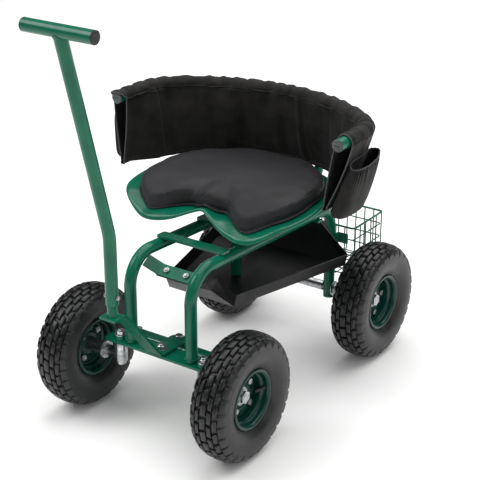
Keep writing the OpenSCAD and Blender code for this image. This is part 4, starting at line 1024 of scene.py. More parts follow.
@dataclass
class Basket:
    """Wire basket of U-shaped wires both ways, hoops round them and a thicker rim."""

    wire_r: float = 1.5 * MM
    rim_r: float = 2.4 * MM
    bite: float = 1 * MM
    across: int = 11
    rows: int = 4
    deep: int = 5
    end_gap: float = 5 * MM
    bend: float = 7 * MM
    rim_bend: float = 8 * MM
    top_gap: float = 0.3 * MM

    panels = ("basket_front", "basket_back", "basket_left", "basket_right", "basket_floor")

    def __post_init__(self) -> None:
        """Reads the basket's place from its CAD panels."""
        boxes = np.array([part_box(name) for name in self.panels])
        self.low, self.high = boxes[:, 0].min(0), boxes[:, 1].max(0)

    def wires(self, lines: Sequence[Points], closed: bool) -> Shape:
        """Thin wires bent along lines."""
        mesh = line_mesh(lines, closed)
        return taken_shape(WIRES.grown(mesh, GREEN, radius=self.wire_r, bend=self.bend, facets=10))

    def build(self) -> None:
        """Builds the basket as one piece."""
        x0, y0, z0 = self.low + self.wire_r + (0, 0, self.bite)
        x1, y1, z1 = self.high - self.wire_r
        top = self.high[2] - self.top_gap
        inset = 2 * self.wire_r - self.bite / 2
        ups = [
            np.array([(x, y0, top), (x, y0, z0), (x, y1, z0), (x, y1, top)])
            for x in np.linspace(x0, x1, self.across + 1)[1:-1]
        ]
        ups += [
            np.array([(x0, y, top), (x0, y, z0 + inset), (x1, y, z0 + inset), (x1, y, top)])
            for y in np.linspace(y0 + self.end_gap, y1 - self.end_gap, self.deep + 1)
        ]
        left, right, front, back = x0 + inset, x1 - inset, y0 + inset, y1 - inset
        hoops = [
            np.array([(left, front, z), (right, front, z), (right, back, z), (left, back, z)])
            for z in np.linspace(self.low[2], self.high[2], self.rows + 1)[1:-1]
        ]
        mesh = line_mesh([np.array([(x0, y0, z1), (x1, y0, z1), (x1, y1, z1), (x0, y1, z1)])], True)
        rim = taken_shape(WIRES.grown(mesh, GREEN, radius=self.rim_r, bend=self.rim_bend, facets=12))
        shape = joined(self.wires(ups, False), self.wires(hoops, True), rim)
        add_piece("wire_basket", new_mesh("basket", shape, 50), GREEN, "chassis", self.panels)


@dataclass
class Fasteners:
    """Bolts of the steering, of the handle and of the tray.

    Places are millimetres: across, behind the front axle (for the tray's straps, behind the
    seat's axis) and over the floor.
    """

    kingpin_x: float = 105
    tray_bolt_x: float = 24
    tie_pin_y: float = 58

    # Place, tilt in degrees and drop of the bolts on the tray's two straps.
    straps = ((-204.5, 316.5, 32.0, -4.1), (196.0, 313.35, -3.2, -2.1))
    # The tie rod's bush: height, then radius.
    bush = ((160.6, 5.2), (160.6, 8.6), (161, 9), (168.9, 9), (169.3, 8.6), (169.3, 5.2))

    def __post_init__(self) -> None:
        """Reads the front axle and the seat's axis."""
        self.axle_y = middle_of("pivot_bolt").y
        self.seat_y = middle_of("seat_post").y

    def at(self, x: float, y: float, z: float) -> Points:
        """Place of millimetres about the front axle."""
        return np.array([x * MM, self.axle_y + y * MM, z * MM])

    def group(self, name: str, node: str, body: str, *shapes: Shape) -> None:
        """Makes one piece of several bolts."""
        add_piece(name, new_mesh(name, joined(*shapes), 30), ZINC, body, [node])

    def tray_bolts(self) -> list[Shape]:
        """The four tray bolts on their tilted straps."""
        shapes = []
        for y, z, tilt, drop in self.straps:
            turn = Matrix.Rotation(math.radians(tilt), 3, "X")
            for x in (-self.tray_bolt_x, self.tray_bolt_x):
                place = Vector((0, self.seat_y + y * MM, z * MM)) + turn @ Vector((x, 0, drop)) * MM
                shapes.append(HexBolt(8 * MM, 5.8 * MM, False).placed(place, turn))
        return shapes

    def build(self) -> None:
        """Builds every group of bolts."""
        up = Matrix.Identity(3)
        down = Matrix.Rotation(math.pi, 3, "X")
        sideways = Matrix.Rotation(math.pi / 2, 3, "Y")
        pivot = HexBolt(12 * MM, 11.9 * MM).placed(self.at(0, 0, 162.7), up)
        self.group("pivot_hex_bolt", "pivot_bolt", "chassis", pivot)
        kingpin = HexBolt(12 * MM, 58.6 * MM)
        pins = [kingpin.placed(self.at(side.value * self.kingpin_x, 0, 117.4), up) for side in Side]
        self.group("kingpin_hex_bolts", "kingpins", "chassis", *pins)
        lever = HexBolt(10 * MM, 18.6 * MM, False).placed(self.at(0, self.tie_pin_y, 174.9), down)
        points, faces = upright(lathe(np.array(self.bush) * MM, 32))
        bush = (points + self.at(0, self.tie_pin_y, 0), faces)
        self.group("lever_hex_bolt", "lever_bolt", "steering", lever, bush)
        cross = HexBolt(6 * MM, 25.3 * MM, False, 2 * MM, 1 * MM).placed(self.at(-12.8, -143, 346), sideways)
        self.group("handle_hex_bolt", "handle_bolt", "steering", cross)
        self.group("tray_hex_bolts", "tray_bolts", "chassis", *self.tray_bolts())


@dataclass
class Welds:
    """Painted fillet welds where tubes and plates of the frame and of the handle meet."""

    bead: float = 1.9 * MM
    handle_lean: float = math.radians(14.5)
    shaft_r: float = 12.2 * MM
    grip_r: float = 12.7 * MM
    column_r: float = 11.6 * MM
    frame_tube_r: float = 12.9 * MM
    frame_tube_x: float = 75 * MM
    plate_lift: float = 0.3 * MM
    beam_lift: float = 0.6 * MM

    def saddle(self, centre: Vector, along: Vector, branch_r: float, main_r: float, main: Vector) -> Points:
        """Line where a tube that runs along a heading meets a tube across it."""
        aside = along.cross(main).normalized()
        found = []
        for w in np.linspace(0, TURN, 64, endpoint=False):
            v = branch_r * math.sin(w)
            reach = math.sqrt(max(main_r**2 - v**2, 0))
            found.append(centre - along * reach + aside * v + main * branch_r * math.cos(w))
        return np.array(found)

    def weld(self, name: str, body: str, lines: Sequence[Points]) -> None:
        """Makes one piece of the weld beads along closed lines."""
        beads = BEADS.grown(
            line_mesh(lines, True), GREEN,
            pitch=self.bead, thickness=self.bead, reach=self.bead * 0.9, jitter=0.12, rounds=1, seed=7,
        )
        add_piece(name, beads, GREEN, body)

    def build(self) -> None:
        """Builds the welds of the handle and of the frame."""
        shaft = Vector((0, -math.sin(self.handle_lean), math.cos(self.handle_lean)))
        grip = self.saddle(middle_of("handle_grip"), shaft, self.shaft_r, self.grip_r, Vector((1, 0, 0)))
        self.weld("handle_welds", "steering", [grip])
        plate_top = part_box("seat_cross_plate")[1].z + self.plate_lift
        beam_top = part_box("front_beam")[1].z + self.beam_lift
        rings = [ring_line((0, middle_of("seat_column").y, plate_top), self.column_r)]
        for x in (-self.frame_tube_x, self.frame_tube_x):
            rings.append(ring_line((x, middle_of("pivot_bolt").y, beam_top), self.frame_tube_r))
        self.weld("frame_welds", "chassis", rings)


# Seat


@dataclass
class SeatPlan:
    """Outline and dish that the pan and its cushion share, about the seat's own axis.

    The tables give shares of a radius or of the rise at degrees from the front.
    """

    middle_h: float = 418 * MM
    pan_r: float = 210 * MM
    pan_rise: float = 28 * MM
    rise_power: float = 3
    droop_power: float = 6
    cushion_r: float = 190 * MM
    rest_gap: float = 0.6 * MM

    pan_outline = (
        (0, 0.567), (12, 0.644), (24, 0.755), (36, 0.93), (42, 0.962), (54, 1.08), (62, 1.1), (90, 1.0),
        (180, 0.952),
    )
    pan_heights = (
        (0, 0.57), (12, 0.18), (24, -0.44), (30, -0.61), (42, -0.71), (48, -0.23), (54, 0.43), (62, 0.68),
        (90, 1.0), (180, 0.5),
    )
    cushion_outline = (
        (0, 0.6), (10, 0.585), (21, 0.555), (28, 0.6), (37, 0.99), (50, 1.04), (60, 1.09), (90, 1.0),
        (180, 0.984),
    )

    def __post_init__(self) -> None:
        """Reads the seat's axis from its post."""
        self.axis_y = middle_of("seat_post").y

    def pan_radius(self, w: np.ndarray) -> np.ndarray:
        """Radius of the pan at angles in degrees from the front."""
        return self.pan_r * share_at(w, self.pan_outline)

    def cushion_radius(self, w: np.ndarray) -> np.ndarray:
        """Radius of the cushion at angles in degrees from the front."""
        return self.cushion_r * share_at(w, self.cushion_outline)

    def dish(self, w: np.ndarray, r: np.ndarray) -> np.ndarray:
        """Height of the pan's upper face over its middle."""
        height = share_at(w, self.pan_heights)
        power = np.where(height < 0, self.droop_power, self.rise_power)
        return self.pan_rise * height * (r / self.pan_radius(w)) ** power

    def points(self, w: np.ndarray, r: np.ndarray, lift: np.ndarray | float) -> Points:
        """Points at angles and distances from the axis, lifted from the pan's upper face."""
        turn = np.radians(w)
        z = self.middle_h + self.dish(w, r) + lift
        return np.stack([r * np.sin(turn), self.axis_y - r * np.cos(turn), z], -1)


@dataclass
class SeatPan:
    """Pressed sheet seat with a lip that is rolled down all round."""

    plan: SeatPlan
    turns: int = 192
    sheet_t: float = 2 * MM

    shares = (0.004, 0.15, 0.3, 0.45, 0.6, 0.72, 0.82, 0.89)
    # The lip's section in millimetres: distance inside the outline, then drop.
    lip = (
        (14, 0), (9, 0), (6.6, 0.1), (4.8, 0.4), (3.2, 1.0), (1.8, 1.9), (0.8, 3.1), (0.2, 4.6), (0, 6.2),
        (0.1, 7.2), (0.5, 7.8), (1.1, 8.0), (1.7, 7.7), (2.0, 7.0), (2.1, 5.8), (2.6, 4.6), (3.6, 3.5),
        (5.2, 2.7), (7.4, 2.2), (10, 2), (14, 2),
    )

    def build(self) -> None:
        """Builds the pan."""
        w = np.linspace(0, 360, self.turns, endpoint=False)
        edge = self.plan.pan_radius(w)
        rows = [self.plan.points(w, edge * s, 0.0) for s in self.shares]
        rows += [self.plan.points(w, edge - inset * MM, -drop * MM) for inset, drop in self.lip]
        rows += [self.plan.points(w, edge * s, -self.sheet_t) for s in reversed(self.shares)]
        mesh = new_mesh("pan", (np.concatenate(rows), tube_faces(len(rows), self.turns)), 50)
        add_piece("pressed_seat_pan", mesh, GREEN, "seat", ["seat_pan"])


@dataclass
class Cushion:
    """Coated-cloth cushion: its shape is blown up by a cloth simulation, then its edge seam and
    the puckers beside it are cut in."""

    plan: SeatPlan
    turns: int = 384
    steps: int = 10
    thick: float = 34 * MM
    crown: float = 9 * MM
    voxel: float = 6 * MM
    start_slim: float = 0.985
    frames: int = 20
    most: float = 5 * MM
    resting: float = 3 * MM
    seam_lift: float = 22 * MM

    base = (0.01, 0.3, 0.6, 0.8)
    side = ((-14, 0), (-9.5, 0.1), (-2.7, 4.8), (0, 13.6), (-0.7, 22.4), (-4.1, 29.6), (-11.2, 34.2))
    top = (0.8, 0.55, 0.3, 0.1, 0.01)
    waves = ((150, 1.6), (80, 0.8), (38, 0.3))
    cloth = {
        "quality": 5, "mass": 0.3, "tension_stiffness": 14, "compression_stiffness": 14,
        "shear_stiffness": 6, "bending_stiffness": 0.8, "use_pressure": True, "uniform_pressure_force": 4.0,
    }

    def rows(self, steps: int) -> np.ndarray:
        """Radius share, radius offset and lift of each ring, from the base's middle to the crown."""
        outline = [(s, 0.0, 0.0) for s in self.base] + [(1.0, a * MM, b * MM) for a, b in self.side]
        outline += [(s, 0.0, self.thick + self.crown * (1 - s * s)) for s in self.top]
        return smooth_line(outline, steps)

    def rings(self, turns: int, steps: int, slim: float = 1.0) -> np.ndarray:
        """Points of the cushion's plain form, ring by ring."""
        w = np.linspace(0, 360, turns, endpoint=False)
        edge = self.plan.cushion_radius(w)
        rings = []
        for share, offset, lift in self.rows(steps):
            raised = self.plan.rest_gap + np.full(turns, max(lift, 0)) * slim
            rings.append(self.plan.points(w, (edge * share + offset) * slim, raised))
        return np.array(rings)

    def closed(self, rings: np.ndarray) -> Shape:
        """Closed shape of the rings."""
        return rings.reshape(-1, 3), tube_faces(*rings.shape[:2])

    def blown(self) -> BVHTree:
        """Surface of the slightly smaller form after cloth has been blown up over it."""
        start = self.closed(self.rings(128, 4, self.start_slim))
        plain = linked("cushion_start", new_mesh("cushion_start", start))
        even = plain.modifiers.new("even", "REMESH")
        even.mode = "VOXEL"
        even.voxel_size = self.voxel
        deps = bpy.context.evaluated_depsgraph_get()
        mesh = bpy.data.meshes.new_from_object(plain.evaluated_get(deps))
        bpy.data.objects.remove(plain)
        mesh = self.simulated(mesh)
        points, faces = taken_shape(mesh)
        return BVHTree.FromPolygons([tuple(p) for p in points], faces)

    def simulated(self, mesh: Mesh) -> Mesh:
        """Blows the mesh up as cloth, with its displacement kept under a limit."""
        start, faces = mesh_shape(mesh)
        piece = linked("cushion_cloth", mesh)
        blow = piece.modifiers.new("blow", "CLOTH")
        for name, value in self.cloth.items():
            setattr(blow.settings, name, value)
        blow.settings.effector_weights.gravity = 0
        blow.point_cache.frame_start = 1
        blow.point_cache.frame_end = self.frames
        for step in range(1, self.frames + 1):
            bpy.context.scene.frame_set(step)
        made = bpy.data.meshes.new_from_object(piece.evaluated_get(bpy.context.evaluated_depsgraph_get()))
        moved = taken_shape(made)[0] - start
        far = np.linalg.norm(moved, axis=1)
        moved *= (np.minimum(far, self.most) / np.maximum(far, 1e-9))[:, None]
        LOG.info("cushion cloth moved %.1f mm at most, %.1f mm kept", far.max() / MM, self.most / MM)
        bpy.data.objects.remove(piece)
        bpy.context.scene.frame_set(1)
        return new_mesh("cushion_blown", (start + moved, faces), outward=False)

    def seam(self, far: np.ndarray) -> np.ndarray:
        """Heights of the seam's groove and of the puckers beside it, deepest at the front lobes.

        Args:
            far: Distance of each ring from the seam, in millimetres.

        Returns:
            The height in metres for each ring and angle.
        """
        w = np.linspace(0, TURN, self.turns, endpoint=False)
        lobes = 0.1 + 0.9 * bump_at(np.minimum(w, TURN - w) - 0.45, 0.16)
        drawn = np.random.default_rng(11)
        pucker = sum(
            drawn.uniform(0.5, 1) * np.sin(n * w + drawn.uniform(0, TURN)) for n in (57, 71, 83, 96, 108)
        ) / 2.6
        groove = -0.45 * bump_at(far, 1.6)
        beside = 0.75 * bump_at(far, 9) * (1 - bump_at(far, 1.5))
        return (groove[:, None] + beside[:, None] * pucker * lobes) * MM

    def build(self) -> None:
        """Builds the cushion: a regular grid on the blown surface, with its seam and puckers."""
        rings = self.rings(self.turns, self.steps)
        lifts = self.rows(self.steps)[:, 2]
        number = np.arange(len(lifts))
        first = np.searchsorted(lifts, self.resting)
        surface = self.blown()
        for i in range(first, len(rings)):
            for j in range(self.turns):
                rings[i, j] = surface.find_nearest(Vector(rings[i, j]))[0]
        normal = np.cross(np.roll(rings, -1, 1) - np.roll(rings, 1, 1), np.gradient(rings, axis=0))
        normal /= np.maximum(np.linalg.norm(normal, axis=2), 1e-12)[..., None]
        seam = int(np.argmin(np.where(number < first, 1, np.abs(lifts - self.seam_lift))))
        step = np.linalg.norm(np.diff(rings, axis=0), axis=2).mean(1)
        run = np.concatenate([[0], np.cumsum(step)])
        height = self.seam((run - run[seam]) / MM) * (number >= first)[:, None]
        waves = ripple(rings[:, :, :2].reshape(-1, 2), self.waves, 5).reshape(rings.shape[:2])
        height += waves * (np.clip(number - first, 0, 12) / 12)[:, None]
        mesh = new_mesh("cushion", self.closed(rings + normal * height[..., None]), 60)
        piece = add_piece("blown_cushion", mesh, CUSHION_CLOTH, "seat", ["seat_cushion"])


# Cloth on the back rail


@dataclass
class BackRail:
    """Middle line of the bent back rail, by the distance from its left end."""

    height: float = 595 * MM
    reach: float = 50 * MM
    half_w: float = 269 * MM
    corner_r: float = 98 * MM
    straight: float = 80 * MM
    turn: float = math.radians(50)

    def __post_init__(self) -> None:
        """Works out the rail's great arc and its length."""
        self.axis_y = middle_of("seat_post").y
        self.corner_y = self.straight - self.reach
        self.arc_r = (self.half_w - self.corner_r * (1 - math.cos(self.turn))) / math.cos(self.turn)
        self.arc_y = self.corner_y + (self.corner_r - self.arc_r) * math.sin(self.turn)
        self.bend = self.straight + self.corner_r * self.turn
        self.half = self.bend + self.arc_r * (math.pi / 2 - self.turn)
        self.length = 2 * self.half

    def at(self, s: np.ndarray) -> tuple[np.ndarray, np.ndarray, np.ndarray]:
        """Place about the seat's axis and heading from +Y toward +X, at distances along the rail."""
        t = np.minimum(s, self.length - s)
        w = np.clip((t - self.straight) / self.corner_r, 0, self.turn)
        x = -self.half_w + self.corner_r * (1 - np.cos(w))
        y = np.where(t < self.straight, t - self.reach, self.corner_y + self.corner_r * np.sin(w))
        v = self.turn + (t - self.bend) / self.arc_r
        x = np.where(t > self.bend, -self.arc_r * np.cos(v), x)
        y = np.where(t > self.bend, self.arc_y + self.arc_r * np.sin(v), y)
        heading = np.where(t > self.bend, v, w)
        right = s > self.half
        return np.where(right, -x, x), y, np.where(right, math.pi - heading, heading)

    def points(self, s: np.ndarray, n: np.ndarray, z: np.ndarray) -> Points:
        """Points n outward of the rail and z over it."""
        x, y, heading = self.at(s)
        place = [x - np.cos(heading) * n, self.axis_y + y + np.sin(heading) * n, self.height + z + 0 * n]
        return np.stack(place, -1)


@dataclass
class SleeveForm:
    """Form of the hanging sleeve, which the pockets follow."""

    rail: BackRail
    roll_r: float = 17.5 * MM
    roll_h: float = -1.7 * MM
    low: float = -150 * MM
    low_half: float = 3 * MM
    right_swing: float = 42 * MM
    swing_from: float = 0.45

    # Share of the way down from the roll, then share of the roll's radius.
    panel = ((0.0, 1.0), (0.35, 0.78), (0.7, 0.42), (1.0, 0.0))
    # Distance along the rail, then how far the hem swings inward, in millimetres.
    left_swings = (
        (0, 0), (34, 0), (52, 14), (69, 28), (84, 38), (150, 38), (235, 12), (330, -7), (510, -7), (560, 0),
    )

    def down(self, z: np.ndarray) -> np.ndarray:
        """Share of the way from the roll to the hem at a height over the rail."""
        return np.clip((self.roll_h - z) / (self.roll_h - self.low), 0, 1)

    def swing(self, s: np.ndarray, z: np.ndarray) -> np.ndarray:
        """How far the cloth swings inward at a height: most at the right arm's end and the left bend."""
        start = self.swing_from * self.rail.half_w
        along = np.clip((self.rail.at(s)[0] - start) / (self.rail.half_w - start), 0, 1)
        right = self.right_swing * (1 - np.cos(math.pi * along)) / 2
        places, depths = np.array(self.left_swings).T * MM
        return (right + np.interp(s, places, depths)) * self.down(z)

    def half(self, z: np.ndarray) -> np.ndarray:
        """Half width of the sleeve at a height over the rail."""
        t = self.down(z)
        return self.roll_r * np.interp(t, *zip(*self.panel)) + self.low_half * t

    def points(self, s: np.ndarray, n: np.ndarray, z: np.ndarray) -> Points:
        """Points of the cloth, with its swing."""
        return self.rail.points(s, n - self.swing(s, z), z)


def double_skin(
    outer: Points, inner: Points, rows: int, columns: int, kept: np.ndarray
) -> tuple[Shape, np.ndarray]:
    """Closed thin shell of two grids, open where cells are left out.

    Args:
        outer: Points of the outer skin, row by row; columns run round.
        inner: Points of the inner skin.
        rows: Rows of the grids.
        columns: Points in a row.
        kept: Whether each cell stays, one flag for each cell in row order.

    Returns:
        The shell, whose skins are joined along every open edge, and the place in the grid of
        each of its points.
    """
    count = len(outer)
    cells = [c for c, stays in zip(grid_faces(rows, columns), kept) if stays]
    edges = {(c[i], c[(i + 1) % 4]) for c in cells for i in range(4)}
    faces = cells + [tuple(i + count for i in reversed(c)) for c in cells]
    faces += [(b, a, a + count, b + count) for a, b in edges if (b, a) not in edges]
    used = sorted({i for face in faces for i in face})
    number = {old: new for new, old in enumerate(used)}
    points = np.concatenate([outer, inner])[used]
    return (points, [tuple(number[i] for i in face) for face in faces]), np.array(used) % count


@dataclass(frozen=True)
class Stitching:
    """Stitches of one kind, with their pitch, thickness and reach in millimetres."""

    pitch: float
    thickness: float
    reach: float
    seed: int

    def sew(self, name: str, lines: Sequence[Points], closed: bool = False) -> None:
        """Makes one piece of the stitches along lines."""
        beads = BEADS.grown(
            line_mesh(lines, closed), THREAD, pitch=self.pitch * MM, thickness=self.thickness * MM,
            reach=self.reach * MM, jitter=0.1, rounds=1, seed=self.seed,
        )
        add_piece(name, beads, THREAD, "seat")


def bind(name: str, lines: Sequence[Points], radius: float) -> None:
    """Makes one piece of round binding along closed lines."""
    tape = WIRES.grown(line_mesh(lines, True), BINDING, radius=radius, bend=0.0, facets=8)
    add_piece(name, tape, BINDING, "seat")


@dataclass
class ToolSleeve:
    """Folded cloth bag over the back rail: a roll round the tube, a seam under it, two hanging
    panels and a hem that joins them. The uprights enter through slots in the rear panel."""

    form: SleeveForm
    left_tip: float = 11 * MM
    right_tip: float = 26 * MM
    flap: float = 21 * MM
    flap_half: float = 24 * MM
    step: float = 2.9 * MM
    cloth_t: float = 1.3 * MM
    seam_angle: float = math.radians(-2)
    upright_x: float = 70 * MM
    slot_half: float = 11.6 * MM

    slot_ends = (-34 * MM, -88 * MM)
    # Places along the rail, in millimetres.
    pleats = (323.0, 549.0)
    ridges = (111.0, 467.0)
    # Wavelengths and heights of the hanging folds, in millimetres.
    folds = ((171, 2.0), (97, 1.9), (58, 1.3), (33, 0.6))
    # Distances of the hem's columns from its edge, in millimetres.
    hem = (0, 0.8, 1.8, 3, 4.4, 5.4, 6.2, 7, 8, 9.5, 12)

    def section(self) -> Points:
        """Dense section from the outer hem over the roll to the inner hem, as (n, z) pairs."""
        f = self.form
        t, share = np.array(f.panel[:0:-1]).T
        side = np.stack([f.roll_r * share + f.low_half * t, f.roll_h + (f.low - f.roll_h) * t], 1)
        w = np.radians(np.linspace(-14, 90, 8))
        roll = np.stack([f.roll_r * np.cos(w), f.roll_h + f.roll_r * np.sin(w)], 1)
        return mirrored(smooth_line([*side, *roll], 24))

    def columns(self) -> tuple[np.ndarray, Points, Points]:
        """Distance along the section, place and normal of each column, dense at hem and seam."""
        line = self.section()
        run = np.concatenate([[0], np.cumsum(np.linalg.norm(np.diff(line, axis=0), axis=1))])
        half = len(line) // 2
        seam_z = self.form.roll_h + self.form.roll_r * math.sin(self.seam_angle)
        self.total = run[-1]
        self.seam = float(np.interp(seam_z, line[:half, 1], run[:half]))
        panel = np.arange(17 * MM, self.seam - 5.5 * MM, 4.6 * MM)
        seam = self.seam + np.arange(-5, 5.1, 1.0) * MM
        roll = np.arange(self.seam + 7 * MM, self.total / 2, 2.6 * MM)
        first = np.concatenate([np.array(self.hem) * MM, panel, seam, roll])
        places = np.concatenate([first, [self.total / 2], (self.total - first)[::-1]])
        normal = np.stack(read_off(places, run, -across(line)), 1)
        normal /= np.linalg.norm(normal, axis=1)[:, None]
        return places, np.stack(read_off(places, run, line), 1), normal

    def height(self, s: np.ndarray, v: np.ndarray) -> np.ndarray:
        """Wrinkles of the cloth: how far it stands out along its normal.

        Args:
            s: Distance along the rail of each point, in metres.
            v: Distance along the section, in metres.

        Returns:
            The height in metres.
        """
        inner = v > self.total / 2
        along, up = s / MM, np.minimum(v, self.total - v) / MM
        seam = self.seam / MM
        roll = 1 / (1 + np.exp(-(up - seam - 3) / 1.5))
        phase = 2.1 * np.sin(along / 61) + 1.2 * np.sin(along / 23 + 1)
        out = roll * (1.25 * np.sin(TURN * along / 36 + phase) + 0.5 * np.sin(TURN * along / 17 + 2 * phase))
        out -= 2.0 * bump_at(up - seam, 1.5)
        out += 0.5 * bump_at(up - seam, 7) * np.sin(TURN * along / 13 + phase)
        hang = np.clip(up / 25, 0, 1) * (1 - roll)
        drawn = np.random.default_rng(21)
        for length, size in self.folds:
            for side in (False, True):
                turn, lean = drawn.uniform(0, TURN), drawn.uniform(-0.25, 0.25)
                wave = size * np.sin(TURN * (along + lean * up) / length + turn)
                out += np.where(inner == side, wave * hang, 0)
        for place in self.ridges:
            far = along - place + 0.12 * (up - 60) + 3 * np.sin(up / 30)
            out += np.where(inner, 2.4 * (bump_at(far, 5) - bump_at(far - 10, 5)) * hang, 0)
        for place in self.pleats:
            far = along - place + 0.006 * ((v - self.total / 2) / MM) ** 2
            out += roll * (0.9 * bump_at(far - 5, 3) - 2.2 * bump_at(far, 1.6))
        out += 0.9 * np.exp(-(((up - 3) / 3.2) ** 4)) - 0.9 * bump_at(up - 7.2, 0.9)
        return np.maximum(out, -2.9) * MM

    def slotted(
        self, s: np.ndarray, v: np.ndarray, section: Points
    ) -> tuple[np.ndarray, np.ndarray, np.ndarray]:
        """Opens a rounded slot in the rear panel round each upright.

        Args:
            s: Distance along the rail of each point of the grid.
            v: Its distance along the section.
            section: Place of each column.

        Returns:
            The points' distances along the rail and along the section, and the kept cells.
        """
        rail = self.form.rail
        apart = rail.arc_r * math.asin(self.upright_x / rail.arc_r)
        half = len(section) // 2
        high, low = np.interp(self.slot_ends, section[:half, 1], v[0, :half])
        rows, columns = s.shape
        kept = np.ones((rows - 1, columns), bool)
        cell_s = (s[:-1] + s[1:]) / 2
        cell_v = (v[:-1] + np.roll(v[:-1], -1, 1)) / 2
        for place in (rail.half - apart, rail.half + apart):
            far = np.hypot(cell_s - place, cell_v - np.clip(cell_v, low, high))
            gone = (far < self.slot_half) & (cell_v < self.total / 2)
            gone[:, -1] = False
            kept &= ~gone
            touched = np.zeros((rows, columns), int)
            for a in (0, 1):
                for b in (0, 1):
                    touched[a : rows - 1 + a, :] += np.roll(gone, b, 1).astype(int)
            edge = (touched > 0) & (touched < 4)
            middle = np.clip(v, low, high)
            away = np.hypot(s - place, v - middle)
            scale = np.where(edge, self.slot_half / np.maximum(away, 1e-6), 1.0)
            s = place + (s - place) * scale
            v = middle + (v - middle) * scale
        return s, v, kept.ravel()

    def patch(self) -> Points:
        """Rectangle of stitches on the inner panel near the hem."""
        fine = np.linspace(0, 4, 61)
        s = np.interp(fine, range(5), (286, 324, 324, 286, 286)) * MM
        z = self.form.low + np.interp(fine, range(5), (8, 8, 22, 22, 8)) * MM
        return self.form.points(s, -self.form.half(z) - 1.2 * MM, z)

    def trim(self, outer: Points, places: np.ndarray) -> None:
        """Builds the bound open ends and the stitch lines along hem, seam and patch."""
        bind("sleeve_binding", [outer[0], outer[-1]], 1.5 * MM)
        lines = []
        for place in (7.6 * MM, self.seam - 3 * MM, self.seam + 3.4 * MM):
            for edge in (place, self.total - place):
                lines.append(outer[4:-4, np.argmin(np.abs(places - edge))])
        Stitching(4.2, 0.42, 1.5, seed=3).sew("sleeve_stitches", [*lines, self.patch()])

    def build(self) -> None:
        """Builds the sleeve, its bindings and its stitches."""
        length = self.form.rail.length
        places, section, normal = self.columns()
        wide = length - self.left_tip - self.right_tip
        count = int(wide / self.step)
        top = np.clip(1 - np.abs(places - self.total / 2) / self.flap_half, 0, 1)
        first = self.left_tip - self.flap * np.sqrt(top)
        s = first + (length - self.right_tip - first) * np.linspace(0, 1, count)[:, None]
        v = np.broadcast_to(places, s.shape)
        lift = self.height(s, v)
        s, v, kept = self.slotted(s, v, section)
        n, z = read_off(v, places, section)
        normal_n, normal_z = read_off(v, places, normal)
        outer, inner = (
            self.form.points(s, n + normal_n * rise, z + normal_z * rise)
            for rise in (lift, lift - self.cloth_t)
        )
        shape, used = double_skin(outer.reshape(-1, 3), inner.reshape(-1, 3), count, len(places), kept)
        flat = np.stack([s.ravel(), v.ravel()], 1)[used]
        mesh = new_mesh("sleeve", shape, 60, flat=flat)
        piece = add_piece("tool_sleeve_cloth", mesh, BAG_CLOTH, "seat", ["tool_sleeve"])
        self.trim(outer, places)


